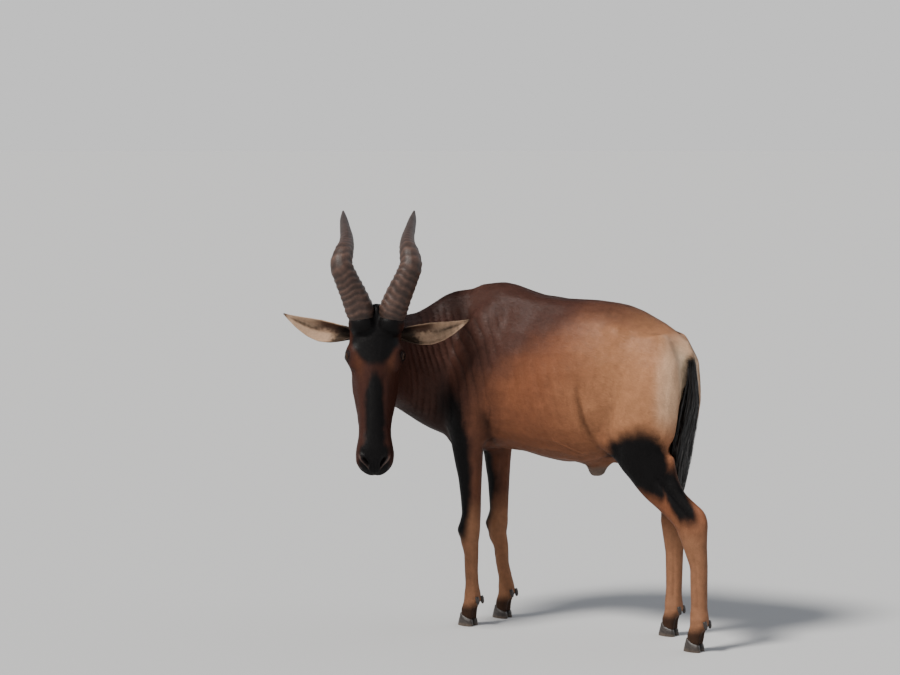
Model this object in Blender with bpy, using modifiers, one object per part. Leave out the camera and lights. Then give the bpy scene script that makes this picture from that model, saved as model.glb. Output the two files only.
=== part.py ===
"""A red hartebeest bull, life size, standing still with its head turned back over its left side.

Body frame, metres: the head end of the trunk is at -X, the animal's left side is at -Y and up is +Z.
The head, its ears, eyes and horns are modelled in a frame of their own, nose at -X, and then turned
into place. At the end everything moves so that the origin is under the middle of the whole animal.
"""

import math

import bmesh
import bpy
from mathutils import Matrix, Vector

LEFT, RIGHT = -1, 1
SIDE_NAMES = {LEFT: "left", RIGHT: "right"}
GAP = 0.0003

# Ground plan of the four feet: x of the fetlock for each leg, y of the fetlock for each pair.
FORE_FETLOCK_X = {LEFT: -0.476, RIGHT: -0.444}
FORE_KNEE_X = {LEFT: -0.488, RIGHT: -0.484}
HIND_FETLOCK_X = {LEFT: 0.438, RIGHT: 0.238}
HIND_HOCK_X = {LEFT: 0.403, RIGHT: 0.238}
HIND_STIFLE = {LEFT: (0.115, 0.705), RIGHT: (0.058, 0.740)}
FORE_FOOT_Y = 0.098
HIND_FOOT_Y = 0.105
FETLOCK_Z = 0.112
KNEE_Z = 0.350
HOCK_Z = 0.430
FOOT_FORWARD = 0.019

# Hooves: two claws on each foot, on a sloping coronet.
CORONET_FRONT_Z = 0.050
CORONET_HEEL_Z = 0.027
CLAW_LENGTH = 0.072
CLAW_WIDTH = 0.030
CLAW_SPACING = 0.0165
CLAW_FRONT, CLAW_REAR = 0.026, 0.030
DEWCLAW_SPACING = 0.0165

# Head frame: the middle of the front of the horn bases, and how the head is turned.
HEAD_AT = Vector((-0.6545, -0.4740, 1.131))
HEAD_YAW = math.radians(121.0)
HEAD_PITCH = math.radians(-76.0)
EYE_RADIUS = 0.0195
EYE_AT = (-0.120, 0.0870, -0.051)

BODY_VOXEL = 0.0075
HEAD_VOXEL = 0.0045
BODY_TRIANGLES = 3200
HEAD_TRIANGLES = 1500
SOFT_ABOVE_Z = 0.62
ROUND = 28

# Where the neck is parted from the head and from the trunk, and the cuts through each leg: the middle and
# tilt in degrees of the upper cut on either side, its reach in front and behind, and the lower cut's height.
NECK_CUT_Y = -0.285
NECK_CUT_AT = (-0.590, -0.060, 0.95)
NECK_CUT_TURN = math.radians(32.0)
LEG_CUTS = (
    ("fore", {LEFT: (-0.480, 0.632, 0.0), RIGHT: (-0.480, 0.632, 0.0)}, -0.16, 0.16, 0.338),
    ("hind", {LEFT: (0.230, 0.800, -27.0), RIGHT: (0.190, 0.800, -15.0)}, -0.15, 0.34, 0.352),
)

COAT_BROWN = (0.30, 0.115, 0.055)
COAT_BLACK = (0.018, 0.014, 0.013)
COAT_TAN = (0.46, 0.24, 0.12)
HORN_GREY = (0.16, 0.12, 0.10)
HOOF_BLACK = (0.03, 0.026, 0.024)
EYE_BROWN = (0.02, 0.010, 0.006)


def clear_scene():
    for obj in list(bpy.data.objects):
        bpy.data.objects.remove(obj, do_unlink=True)


def new_collection(name):
    collection = bpy.data.collections.new(name)
    bpy.context.scene.collection.children.link(collection)
    return collection


def new_material(name, colour, roughness):
    material = bpy.data.materials.new(name)
    material.use_nodes = True
    shader = material.node_tree.nodes["Principled BSDF"]
    shader.inputs["Base Color"].default_value = (*colour, 1.0)
    shader.inputs["Roughness"].default_value = roughness
    shader.inputs["Metallic"].default_value = 0.0
    return material


def new_object(name, mesh, collection):
    obj = bpy.data.objects.new(name, mesh)
    collection.objects.link(obj)
    return obj


def evaluated_mesh(obj):
    """The object's mesh with its modifiers worked in."""
    bpy.context.view_layer.update()
    graph = bpy.context.evaluated_depsgraph_get()
    return bpy.data.meshes.new_from_object(obj.evaluated_get(graph))


# ---------------------------------------------------------------- forms

def add_loft(bm, rings):
    """Skins a row of equal rings of points and closes both ends."""
    rows = [[bm.verts.new(point) for point in ring] for ring in rings]
    count = len(rows[0])
    for near, far in zip(rows, rows[1:]):
        for i in range(count):
            j = (i + 1) % count
            bm.faces.new((near[i], near[j], far[j], far[i]))
    bm.faces.new(tuple(reversed(rows[0])))
    bm.faces.new(tuple(rows[-1]))


def add_ellipsoid(bm, centre, radii, turn=(0.0, 0.0, 0.0)):
    """A rounded mass. turn holds its rotations about X, Y and Z in degrees."""
    about = [Matrix.Rotation(math.radians(a), 4, axis) for a, axis in zip(turn, "XYZ")]
    place = Matrix.Translation(centre) @ about[2] @ about[1] @ about[0] @ Matrix.Diagonal((*radii, 1.0))
    bmesh.ops.create_uvsphere(bm, u_segments=24, v_segments=14, radius=1.0, matrix=place)


def power(value, exponent):
    return math.copysign(abs(value) ** exponent, value)


def upright_ring(x, top, bottom, half_width, widest_z, top_square=1.0, low_square=1.0, y=0.0):
    """A section of the trunk or head across X. Squareness over 1 fills the corners and under 1 pinches them."""
    ring = []
    for i in range(ROUND):
        angle = 2 * math.pi * i / ROUND
        side, rise = math.cos(angle), math.sin(angle)
        reach, square = (top - widest_z, top_square) if rise > 0 else (widest_z - bottom, low_square)
        ring.append((x, y + half_width * power(side, 1 / square), widest_z + reach * power(rise, 1 / square)))
    return ring


def smooth_path(points, steps):
    """Points on a Catmull-Rom curve through rows of numbers, steps of them for each span."""
    rows = [points[0], *points, points[-1]]
    path = []
    for a, b, c, d in zip(rows, rows[1:], rows[2:], rows[3:]):
        for i in range(steps):
            t = i / steps
            path.append([
                0.5 * (2 * q + (r - p) * t + (2 * p - 5 * q + 4 * r - s) * t * t + (3 * q - p - 3 * r + s) * t ** 3)
                for p, q, r, s in zip(a, b, c, d)
            ])
    path.append(list(points[-1]))
    return path


def add_tube(bm, stations, side_way=(0.0, 1.0, 0.0), steps=4, sides=20):
    """A limb or neck. Each station is x, y, z, half depth and half width; the width runs along side_way."""
    path = smooth_path(stations, steps)
    rings = []
    for i, row in enumerate(path):
        here = Vector(row[:3])
        along = Vector(path[min(i + 1, len(path) - 1)][:3]) - Vector(path[max(i - 1, 0)][:3])
        deep = Vector(side_way).cross(along).normalized()
        wide = along.cross(deep).normalized()
        rings.append([
            here + deep * row[3] * math.cos(a) + wide * row[4] * math.sin(a)
            for a in (2 * math.pi * k / sides for k in range(sides))
        ])
    add_loft(bm, rings)


# ---------------------------------------------------------------- trunk, neck and legs

# x, top, bottom, half width, height of the widest part, squareness above and below it
TRUNK = (
    (-0.605, 1.050, 0.730, 0.050, 0.850, 1.0, 1.0),
    (-0.575, 1.155, 0.678, 0.098, 0.855, 1.0, 1.0),
    (-0.515, 1.240, 0.644, 0.134, 0.865, 0.9, 1.0),
    (-0.450, 1.259, 0.640, 0.152, 0.875, 0.8, 1.0),
    (-0.385, 1.262, 0.642, 0.160, 0.880, 0.78, 1.0),
    (-0.310, 1.240, 0.640, 0.168, 0.885, 0.82, 1.05),
    (-0.235, 1.213, 0.628, 0.177, 0.885, 0.9, 1.1),
    (-0.140, 1.203, 0.612, 0.188, 0.880, 1.0, 1.1),
    (-0.040, 1.204, 0.606, 0.191, 0.880, 1.05, 1.1),
    (0.050, 1.196, 0.622, 0.180, 0.900, 1.05, 1.05),
    (0.130, 1.180, 0.668, 0.166, 0.945, 1.0, 1.0),
    (0.215, 1.143, 0.720, 0.158, 0.960, 0.92, 1.0),
    (0.270, 1.113, 0.772, 0.134, 0.955, 0.9, 1.0),
    (0.310, 1.080, 0.820, 0.100, 0.950, 0.95, 1.0),
    (0.332, 1.040, 0.870, 0.050, 0.950, 1.0, 1.0),
)

# x, y, z, half depth, half width, along the bend of the neck from the shoulders to the head
NECK = (
    (-0.400, 0.000, 0.965, 0.265, 0.130),
    (-0.515, -0.004, 0.950, 0.280, 0.130),
    (-0.605, -0.050, 0.948, 0.266, 0.118),
    (-0.668, -0.130, 0.940, 0.214, 0.102),
    (-0.700, -0.225, 0.962, 0.176, 0.088),
    (-0.708, -0.315, 0.978, 0.157, 0.079),
    (-0.702, -0.385, 0.980, 0.142, 0.072),
)


def smooth_rings(rows, steps):
    return [upright_ring(*row) for row in smooth_path(rows, steps)]


def add_neck(bm, first=0):
    """Upright oval sections square to the bend. The crest is narrower than the throat."""
    path = smooth_path(NECK, 4)[4 * first:]
    rings = []
    for i, (x, y, z, half_depth, half_width) in enumerate(path):
        along = Vector(path[min(i + 1, len(path) - 1)][:3]) - Vector(path[max(i - 1, 0)][:3])
        along.z = 0.0
        wide = along.cross(Vector((0.0, 0.0, 1.0))).normalized()
        ring = []
        for k in range(ROUND):
            angle = 2 * math.pi * k / ROUND
            rise = math.sin(angle)
            width = half_width * (1.0 - 0.22 * rise)
            ring.append(Vector((x, y, z)) + wide * width * math.cos(angle) + Vector((0, 0, half_depth * rise)))
        rings.append(ring)
    add_loft(bm, rings)


def add_foot(bm, fetlock_x, y, half_depth, half_width):
    """The pastern: two digits that part below the fetlock and run forward to the coronets."""
    for digit in (-1, 1):
        add_tube(bm, (
            (fetlock_x + 0.003, y + digit * 0.008, FETLOCK_Z + 0.012, half_depth * 0.86, half_width * 0.62),
            (fetlock_x - 0.003, y + digit * 0.012, FETLOCK_Z - 0.020, half_depth * 0.90, half_width * 0.62),
            (fetlock_x - 0.60 * FOOT_FORWARD, y + digit * 0.0155, 0.064, half_depth * 0.94, half_width * 0.60),
            (fetlock_x - 0.92 * FOOT_FORWARD, y + digit * CLAW_SPACING, 0.036, half_depth * 1.04, half_width * 0.62),
            (fetlock_x - 1.05 * FOOT_FORWARD, y + digit * CLAW_SPACING, 0.012, half_depth * 1.06, half_width * 0.60),
        ), sides=14, steps=3)


def add_foreleg(bm, side):
    """Shoulder blade and upper arm over the ribs, forearm, knee, cannon and foot."""
    knee, fetlock = FORE_KNEE_X[side], FORE_FETLOCK_X[side]
    y = side * FORE_FOOT_Y
    add_tube(bm, (
        (-0.395, side * 0.066, 1.185, 0.030, 0.020),
        (-0.412, side * 0.092, 1.120, 0.072, 0.034),
        (-0.440, side * 0.116, 1.010, 0.098, 0.044),
        (-0.476, side * 0.124, 0.895, 0.104, 0.048),
        (-0.488, side * 0.120, 0.800, 0.098, 0.050),
        (-0.490, side * 0.114, 0.722, 0.080, 0.050),
        (-0.490, side * 0.107, 0.640, 0.062, 0.045),
        (-0.484, side * 0.103, 0.540, 0.047, 0.038),
        (knee + 0.006, y, 0.452, 0.040, 0.033),
        (knee + 0.005, y, 0.395, 0.038, 0.0335),
        (knee - 0.002, y, KNEE_Z, 0.0435, 0.0370),
        (knee + 0.000, y, 0.312, 0.0370, 0.0320),
        (0.7 * knee + 0.3 * fetlock + 0.003, y, 0.268, 0.0300, 0.0260),
        (0.5 * (knee + fetlock) + 0.001, y, 0.205, 0.0270, 0.0230),
        (0.15 * knee + 0.85 * fetlock, y, 0.150, 0.0280, 0.0240),
        (fetlock, y, FETLOCK_Z, 0.0325, 0.0290),
        (fetlock - 0.005, y, FETLOCK_Z - 0.026, 0.028, 0.0265),
    ), sides=20)
    add_ellipsoid(bm, (-0.432, side * 0.110, 0.715), (0.034, 0.027, 0.046), (0, -15, 0))
    add_ellipsoid(bm, (-0.440, side * 0.126, 0.815), (0.075, 0.042, 0.100), (0, 20, 0))
    add_ellipsoid(bm, (-0.545, side * 0.108, 0.855), (0.050, 0.044, 0.075), (0, 15, 0))
    add_ellipsoid(bm, (knee + 0.026, y, 0.372), (0.018, 0.020, 0.024))
    add_foot(bm, fetlock, y, 0.029, 0.0265)


def add_hindleg(bm, side):
    """Thigh, gaskin with its tendon, hock, cannon and foot."""
    stifle_x, stifle_z = HIND_STIFLE[side]
    hock, fetlock = HIND_HOCK_X[side], HIND_FETLOCK_X[side]
    y = side * HIND_FOOT_Y
    reach = stifle_x - HIND_STIFLE[LEFT][0]
    top = Vector((stifle_x + 0.098, 0.0, stifle_z - 0.005))
    low = Vector((hock, 0.0, HOCK_Z))

    def gaskin(share, bow, half_depth, half_width):
        """A station that share of the way from stifle to hock, pushed forward by bow."""
        at = top.lerp(low, share)
        return at.x - bow, side * (0.112 - 0.004 * share), at.z, half_depth, half_width

    add_tube(bm, (
        (0.205, side * 0.070, 1.085, 0.090, 0.050),
        (0.216 + 0.2 * reach, side * 0.096, 0.990, 0.124, 0.066),
        (0.224 + 0.35 * reach, side * 0.110, 0.890, 0.134, 0.071),
        (0.221 + 0.55 * reach, side * 0.114, 0.790, 0.132, 0.068),
        (top.x, side * 0.114, top.z, 0.114, 0.060),
        gaskin(0.30, 0.026, 0.084, 0.050),
        gaskin(0.50, 0.032, 0.064, 0.042),
        gaskin(0.70, 0.014, 0.053, 0.036),
        gaskin(0.88, 0.000, 0.050, 0.033),
        (hock, y, HOCK_Z, 0.052, 0.0335),
        (0.62 * hock + 0.38 * fetlock, y, HOCK_Z - 0.048, 0.049, 0.0325),
        (0.37 * hock + 0.63 * fetlock, y, HOCK_Z - 0.088, 0.0415, 0.0290),
        (0.12 * hock + 0.88 * fetlock, y, 0.295, 0.0350, 0.0255),
        (0.05 * hock + 0.95 * fetlock, y, 0.200, 0.0325, 0.0240),
        (fetlock - 0.001, y, 0.150, 0.0325, 0.0250),
        (fetlock, y, FETLOCK_Z, 0.0360, 0.0300),
        (fetlock - 0.005, y, FETLOCK_Z - 0.026, 0.0300, 0.0275),
    ), sides=20)
    lean = (low.x - top.x) / 0.19
    add_tube(bm, (
        (hock - 0.085 * lean, side * 0.112, 0.675, 0.024, 0.024),
        (hock - 0.068 * lean, side * 0.110, 0.610, 0.018, 0.018),
        (hock - 0.036 * lean, side * 0.109, 0.548, 0.0145, 0.0145),
        (hock + 0.004, y, 0.510, 0.0145, 0.0140),
        (hock + 0.036, y, HOCK_Z + 0.056, 0.0150, 0.0150),
        (hock + 0.048, y, HOCK_Z + 0.026, 0.0165, 0.0180),
        (hock + 0.047, y, HOCK_Z - 0.030, 0.0165, 0.0180),
        (0.5 * (hock + fetlock) + 0.026, y, HOCK_Z - 0.100, 0.0150, 0.0160),
    ), sides=14)
    add_ellipsoid(bm, (stifle_x - 0.002, side * 0.118, stifle_z + 0.012), (0.046, 0.038, 0.060), (0, 20, 0))
    add_ellipsoid(bm, (0.290 + 0.3 * reach, side * 0.078, 0.905), (0.062, 0.046, 0.130), (0, 4, 0))
    add_ellipsoid(bm, (0.110, side * 0.112, 1.085), (0.060, 0.030, 0.040), (0, 25, 0))
    add_ellipsoid(bm, (0.245, side * 0.122, 0.985), (0.060, 0.032, 0.055))
    add_foot(bm, fetlock, y, 0.030, 0.0270)


def body_forms():
    """The trunk, neck and legs as overlapping closed forms in one mesh."""
    bm = bmesh.new()
    add_loft(bm, smooth_rings(TRUNK, 3))
    add_neck(bm)
    for side in (LEFT, RIGHT):
        add_foreleg(bm, side)
        add_hindleg(bm, side)
        # The deep chest muscles that part in front between the forelegs.
        add_ellipsoid(bm, (-0.526, side * 0.050, 0.718), (0.092, 0.060, 0.098), (0, -25, 0))
        # The web of skin between belly and thigh.
        add_ellipsoid(bm, (0.062, side * 0.118, 0.785), (0.085, 0.036, 0.105), (0, 20, 0))
    # The ridge of the withers, the sheath and its fold, and the root of the tail.
    add_ellipsoid(bm, (-0.405, 0.0, 1.150), (0.150, 0.072, 0.104), (0, 4, 0))
    add_ellipsoid(bm, (-0.018, 0.0, 0.607), (0.034, 0.024, 0.037), (0, -30, 0))
    add_ellipsoid(bm, (0.058, 0.0, 0.640), (0.085, 0.034, 0.038), (0, -20, 0))
    add_tube(bm, [(x, y, z, deep + 0.003, wide + 0.003) for x, y, z, deep, wide in TAIL[:4]], sides=14)
    bmesh.ops.recalc_face_normals(bm, faces=bm.faces)
    return bm


# ---------------------------------------------------------------- tail

# x, y, z, half depth, half width, from inside the croup to the last hairs
TAIL = (
    (0.290, 0.000, 1.060, 0.030, 0.038),
    (0.330, -0.002, 1.036, 0.024, 0.031),
    (0.352, -0.006, 0.985, 0.0175, 0.020),
    (0.358, -0.010, 0.935, 0.0165, 0.019),
    (0.354, -0.015, 0.860, 0.0255, 0.029),
    (0.338, -0.019, 0.770, 0.0310, 0.035),
    (0.321, -0.022, 0.680, 0.0320, 0.036),
    (0.311, -0.025, 0.610, 0.0300, 0.034),
    (0.307, -0.028, 0.545, 0.0240, 0.027),
    (0.305, -0.030, 0.490, 0.0120, 0.013),
    (0.304, -0.031, 0.455, 0.0030, 0.003),
)
TAIL_CUT_Z = 0.992
TUFT_CUT_Z = 0.905


def build_tail(body, collection):
    """The hanging tail, parted from its root at the rump, and its brush of long hair. Its place is carved out."""
    pieces = (("tail_dock", TUFT_CUT_Z, TAIL_CUT_Z, 0.0), ("tail_tuft", 0.40, TUFT_CUT_Z - GAP, 0.0))
    room = tail_form("tail_room", 0.0035, 0.30, TAIL_CUT_Z + GAP, collection)
    body.data = combined(body, room, "DIFFERENCE")
    bpy.data.objects.remove(room, do_unlink=True)
    return [tail_form(name, grow, low, high, collection) for name, low, high, grow in pieces]


def tail_form(name, grow, low, high, collection):
    """A length of the tail between two heights, grown all round by grow."""
    bm = bmesh.new()
    add_tube(bm, [(x, y, z, deep + grow, wide + grow) for x, y, z, deep, wide in TAIL], sides=10, steps=2)
    bmesh.ops.recalc_face_normals(bm, faces=bm.faces)
    trim(bm, (0, 0, high), (0, 0, 1))
    trim(bm, (0, 0, low), (0, 0, -1))
    return finished(name, bm, collection)


# ---------------------------------------------------------------- head

# x, top, bottom, half width, height of the widest part, squareness above and below it
HEAD = (
    (0.040, -0.045, -0.130, 0.045, -0.085, 1.0, 1.0),
    (0.018, -0.010, -0.160, 0.068, -0.080, 1.1, 1.0),
    (-0.010, 0.000, -0.178, 0.080, -0.075, 1.25, 1.0),
    (-0.055, 0.002, -0.192, 0.084, -0.070, 1.3, 1.0),
    (-0.105, 0.000, -0.200, 0.086, -0.070, 1.2, 1.0),
    (-0.160, -0.003, -0.202, 0.085, -0.085, 1.0, 1.05),
    (-0.215, -0.006, -0.188, 0.079, -0.090, 0.95, 1.05),
    (-0.275, -0.009, -0.163, 0.071, -0.085, 0.95, 1.0),
    (-0.335, -0.013, -0.140, 0.062, -0.080, 1.0, 1.0),
    (-0.385, -0.018, -0.125, 0.058, -0.075, 1.1, 1.0),
    (-0.425, -0.021, -0.120, 0.063, -0.074, 1.2, 1.0),
    (-0.462, -0.024, -0.120, 0.069, -0.074, 1.2, 1.05),
    (-0.497, -0.034, -0.120, 0.063, -0.076, 1.1, 1.1),
    (-0.524, -0.050, -0.115, 0.047, -0.080, 1.0, 1.1),
    (-0.538, -0.068, -0.105, 0.022, -0.086, 1.0, 1.0),
)


def head_forms():
    """The skull and face as overlapping closed forms in the head's own frame."""
    bm = bmesh.new()
    add_loft(bm, smooth_rings(HEAD, 3))
    for side in (LEFT, RIGHT):
        # The bony rim of the eye, the jaw muscle, the cheek ridge, the nostril wing and the roots of horn and ear.
        add_ellipsoid(bm, (-0.114, side * 0.0480, -0.056), (0.072, 0.0525, 0.046), (0, 4, side * -4))
        add_ellipsoid(bm, (-0.145, side * 0.052, -0.130), (0.080, 0.032, 0.060), (0, 20, 0))
        add_ellipsoid(bm, (-0.235, side * 0.062, -0.082), (0.090, 0.017, 0.020), (0, 6, side * 7))
        add_ellipsoid(bm, (-0.478, side * 0.043, -0.062), (0.040, 0.025, 0.028), (0, 16, side * -10))
        add_ellipsoid(bm, (0.014, side * 0.038, -0.036), (0.056, 0.048, 0.044), (0, 10, 0))
        add_ellipsoid(bm, (-0.036, side * 0.060, -0.090), (0.052, 0.047, 0.052))
    # The black ridge that carries the horns.
    add_ellipsoid(bm, (0.026, HORN_MIDDLE_Y, -0.030), (0.044, 0.030, 0.038))
    # The chin and the throat behind the jaw, which runs on into the neck.
    add_ellipsoid(bm, (-0.485, 0.0, -0.118), (0.040, 0.036, 0.016), (0, -4, 0))
    add_ellipsoid(bm, (-0.078, 0.0, -0.160), (0.120, 0.075, 0.082), (0, -14, 0))
    bmesh.ops.transform(bm, matrix=HEAD_PLACE, verts=bm.verts)
    add_neck(bm, first=3)
    bmesh.ops.recalc_face_normals(bm, faces=bm.faces)
    return bm


HEAD_PLACE = (
    Matrix.Translation(HEAD_AT)
    @ Matrix.Rotation(HEAD_YAW, 4, "Z")
    @ Matrix.Rotation(HEAD_PITCH, 4, "Y")
)

# Horn: how far out, up the line of the face and forward of it, and the radius, for the left horn.
HORN = (
    (0.0510, 0.009, -0.020, 0.0490),
    (0.0600, 0.040, -0.006, 0.0505),
    (0.0800, 0.090, 0.012, 0.0470),
    (0.1050, 0.143, 0.034, 0.0425),
    (0.1220, 0.190, 0.044, 0.0400),
    (0.1160, 0.236, 0.026, 0.0350),
    (0.1090, 0.272, -0.014, 0.0285),
    (0.1095, 0.312, -0.064, 0.0235),
    (0.1170, 0.356, -0.118, 0.0190),
    (0.1240, 0.400, -0.172, 0.0140),
    (0.1290, 0.442, -0.222, 0.0040),
)
HORN_MIDDLE_Y = -0.005


def horn_forms(side, grow=0.0, reach=None):
    """The horn's sweep, or only its first stretch, grown all round by grow."""
    bm = bmesh.new()
    stations = [
        (up, HORN_MIDDLE_Y + side * out, forward, radius + grow, radius + grow)
        for out, up, forward, radius in HORN
    ]
    add_tube(bm, stations[:reach], side_way=(0.0, 1.0, 0.0), steps=2, sides=10)
    for vert in bm.verts[:10]:
        vert.co.x -= 2 * grow
    bmesh.ops.recalc_face_normals(bm, faces=bm.faces)
    bmesh.ops.transform(bm, matrix=HEAD_PLACE, verts=bm.verts)
    return bm


def build_horn(side, collection):
    """A stout horn: out and forward in a V, then sharply back at the kink and on to a smooth point."""
    return finished(f"horn_{SIDE_NAMES[side]}", horn_forms(side), collection)


# Ear: length, greatest width and wall, and how it is set on the head for the left ear.
EAR_LENGTH = 0.262
EAR_WALL = 0.0045
EAR_ROOT = (-0.036, 0.080, -0.076)
EAR_RISE = {LEFT: math.radians(6.0), RIGHT: math.radians(11.0)}
EAR_BACK = math.radians(-6.0)
EAR_ROLL = math.radians(-16.0)
EAR_JOINT = 0.0915
EAR_ROWS, EAR_COLUMNS = 9, 6
# Share of the length, width from edge to edge, and half the angle that the sheet is rolled through.
EAR_SHAPE = (
    (0.00, 0.050, 118.0),
    (0.14, 0.060, 98.0),
    (0.30, 0.076, 76.0),
    (0.46, 0.082, 62.0),
    (0.62, 0.071, 52.0),
    (0.78, 0.048, 44.0),
    (0.90, 0.025, 34.0),
    (1.00, 0.005, 20.0),
)


def between(rows, share):
    """The row at that share, taken straight between the rows on either side."""
    for low, high in zip(rows, rows[1:]):
        if share <= high[0]:
            t = (share - low[0]) / (high[0] - low[0])
            return [a + (b - a) * t for a, b in zip(low, high)]
    return rows[-1]


def ear_point(along, around):
    """A point of the ear's sheet: a leaf that is rolled into a funnel at the root and opens to the tip."""
    _, width, half_roll = between(EAR_SHAPE, along)
    half_roll = math.radians(half_roll)
    radius = width / (2 * math.sin(min(half_roll, math.pi / 2)))
    angle = 2 * half_roll * around
    curl = -0.010 * math.sin(math.pi * along) + 0.030 * along ** 3
    return Vector((
        radius * math.sin(angle) + curl,
        along * EAR_LENGTH,
        radius * (math.cos(half_roll) - math.cos(angle)),
    ))


def build_ear(side, collection):
    """A thin cupped leaf that opens forward, cut square where it meets the head."""
    bm = bmesh.new()
    bmesh.ops.create_grid(bm, x_segments=EAR_COLUMNS, y_segments=EAR_ROWS, size=0.5)
    for vert in bm.verts:
        vert.co = ear_point(vert.co.y + 0.5, vert.co.x)
    set_ear = (
        Matrix.Translation(EAR_ROOT)
        @ Matrix.Rotation(-EAR_RISE[side], 4, "Z")
        @ Matrix.Rotation(EAR_BACK, 4, "X")
        @ Matrix.Rotation(EAR_ROLL, 4, "Y")
    )
    bmesh.ops.recalc_face_normals(bm, faces=bm.faces)
    bmesh.ops.solidify(bm, geom=bm.faces, thickness=EAR_WALL)
    bmesh.ops.transform(bm, matrix=set_ear, verts=bm.verts)
    trim(bm, (0, EAR_JOINT + GAP, 0), (0, -1, 0))
    bmesh.ops.transform(bm, matrix=HEAD_PLACE @ Matrix.Diagonal((1.0, side, 1.0, 1.0)), verts=bm.verts)
    bmesh.ops.recalc_face_normals(bm, faces=bm.faces)
    return finished(f"ear_{SIDE_NAMES[side]}", bm, collection)


def eye_forms(side, grow=0.0):
    bm = bmesh.new()
    place = HEAD_PLACE @ Matrix.Translation((EYE_AT[0], side * EYE_AT[1], EYE_AT[2]))
    bmesh.ops.create_uvsphere(bm, u_segments=10, v_segments=7, radius=EYE_RADIUS + grow, matrix=place)
    return bm


def build_head(parts, cutters):
    """Head with a short piece of neck, the seats of horns, eyes and ears cut out of it, and those pieces."""
    head = fused("head", head_forms(), HEAD_VOXEL, HEAD_TRIANGLES, parts, rounds=24)
    cut_with(head, box_cutter("neck_end", (-1.2, NECK_CUT_Y, 0.4), (-0.2, 0.6, 1.6), Matrix.Identity(4), cutters))
    for side in (LEFT, RIGHT):
        seats = (
            finished("horn_seat", horn_forms(side, GAP, reach=5), cutters),
            finished("eye_socket", eye_forms(side, GAP), cutters),
            box_cutter(
                "ear_seat", (-0.080, EAR_JOINT, -0.145), (0.05, 0.16, -0.01),
                HEAD_PLACE @ Matrix.Diagonal((1.0, side, 1.0, 1.0)), cutters,
            ),
        )
        for seat in seats:
            cut_with(head, seat)
        build_horn(side, parts)
        build_ear(side, parts)
        finished(f"eye_{SIDE_NAMES[side]}", eye_forms(side), parts)
    keep_largest(head)
    return head


# ---------------------------------------------------------------- hooves

def claw_outline(toe_x, middle_y, heel_x, width, inner, z_of, sides=9):
    """The rim of one claw, pointed in front and round at the heel. inner is the way to the other claw."""
    ring = []
    half = 0.5 * (heel_x - toe_x)
    for k in range(sides):
        angle = 2 * math.pi * k / sides
        along = 0.5 * (toe_x + heel_x) + half * math.cos(angle)
        taper = 1.0 - 0.42 * max(0.0, -math.cos(angle)) ** 1.6
        across = 0.5 * width * power(math.sin(angle), 0.8) * taper
        curl = inner * 0.004 * max(0.0, -math.cos(angle))
        ring.append((along, middle_y + across + curl, z_of(along)))
    return ring


def build_claw(name, fetlock_x, y, inner, collection):
    """One claw of a hoof: a flat sole, a sloping front wall and the sloping coronet above."""
    middle = fetlock_x - FOOT_FORWARD
    top_toe, top_heel = middle - CLAW_FRONT, middle + CLAW_REAR
    slope = (CORONET_FRONT_Z - CORONET_HEEL_Z) / (top_toe - top_heel)

    def coronet(x, drop=0.0):
        return CORONET_FRONT_Z + slope * (x - top_toe) - GAP - drop

    rings = []
    for down in (0.0, 0.5, 0.92, 1.0):
        toe = top_toe - down * (CLAW_LENGTH - (top_heel - top_toe) - 0.004)
        heel = top_heel + 0.004 * down
        width = CLAW_WIDTH * (0.95 + 0.10 * down) if down < 1.0 else CLAW_WIDTH * 0.97
        rings.append(claw_outline(
            toe, y, heel, width, inner, lambda x, d=down, t=toe: (1 - d) * coronet(x + (top_toe - t) * 0.5)
        ))
    bm = bmesh.new()
    add_loft(bm, rings)
    bmesh.ops.recalc_face_normals(bm, faces=bm.faces)
    return finished(name, bm, collection)


def dewclaw_forms(fetlock_x, y, grow=0.0):
    """A small blunt claw behind the fetlock, pointing down."""
    bm = bmesh.new()
    add_tube(bm, (
        (fetlock_x + 0.0270, y, FETLOCK_Z - 0.002 + grow, 0.0075 + grow, 0.0090 + grow),
        (fetlock_x + 0.0320, y, FETLOCK_Z - 0.016, 0.0090 + grow, 0.0105 + grow),
        (fetlock_x + 0.0335, y, FETLOCK_Z - 0.032 - grow, 0.0050 + grow, 0.0060 + grow),
    ), steps=1, sides=6)
    bmesh.ops.recalc_face_normals(bm, faces=bm.faces)
    return bm


def feet():
    """Name, side, fetlock and middle of each foot."""
    for pair, fetlocks, y in (("fore", FORE_FETLOCK_X, FORE_FOOT_Y), ("hind", HIND_FETLOCK_X, HIND_FOOT_Y)):
        for side in (LEFT, RIGHT):
            yield f"{pair}_{SIDE_NAMES[side]}", side, fetlocks[side], side * y


def build_feet(body, parts, cutters):
    """Cuts the pasterns off level with the coronets, and makes the claws and dewclaws."""
    slope = math.degrees(math.atan2(CORONET_FRONT_Z - CORONET_HEEL_Z, CLAW_FRONT + CLAW_REAR))
    for foot, side, fetlock_x, y in feet():
        place = slope_frame((fetlock_x - FOOT_FORWARD - CLAW_FRONT, y, CORONET_FRONT_Z), tilt_y=slope)
        cut_with(body, box_cutter("coronet_cut", (-0.06, -0.08, -0.09), (0.16, 0.08, 0.0), place, cutters))
        for digit, place in ((side, "outer"), (-side, "inner")):
            build_claw(f"hoof_{foot}_{place}", fetlock_x, y + digit * CLAW_SPACING, -digit, parts)
            dewclaw_y = y + digit * DEWCLAW_SPACING
            cut_with(body, finished("dewclaw_seat", dewclaw_forms(fetlock_x, dewclaw_y, GAP), cutters))
            finished(f"dewclaw_{foot}_{place}", dewclaw_forms(fetlock_x, dewclaw_y), parts)


# ---------------------------------------------------------------- joining and parting

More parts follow.
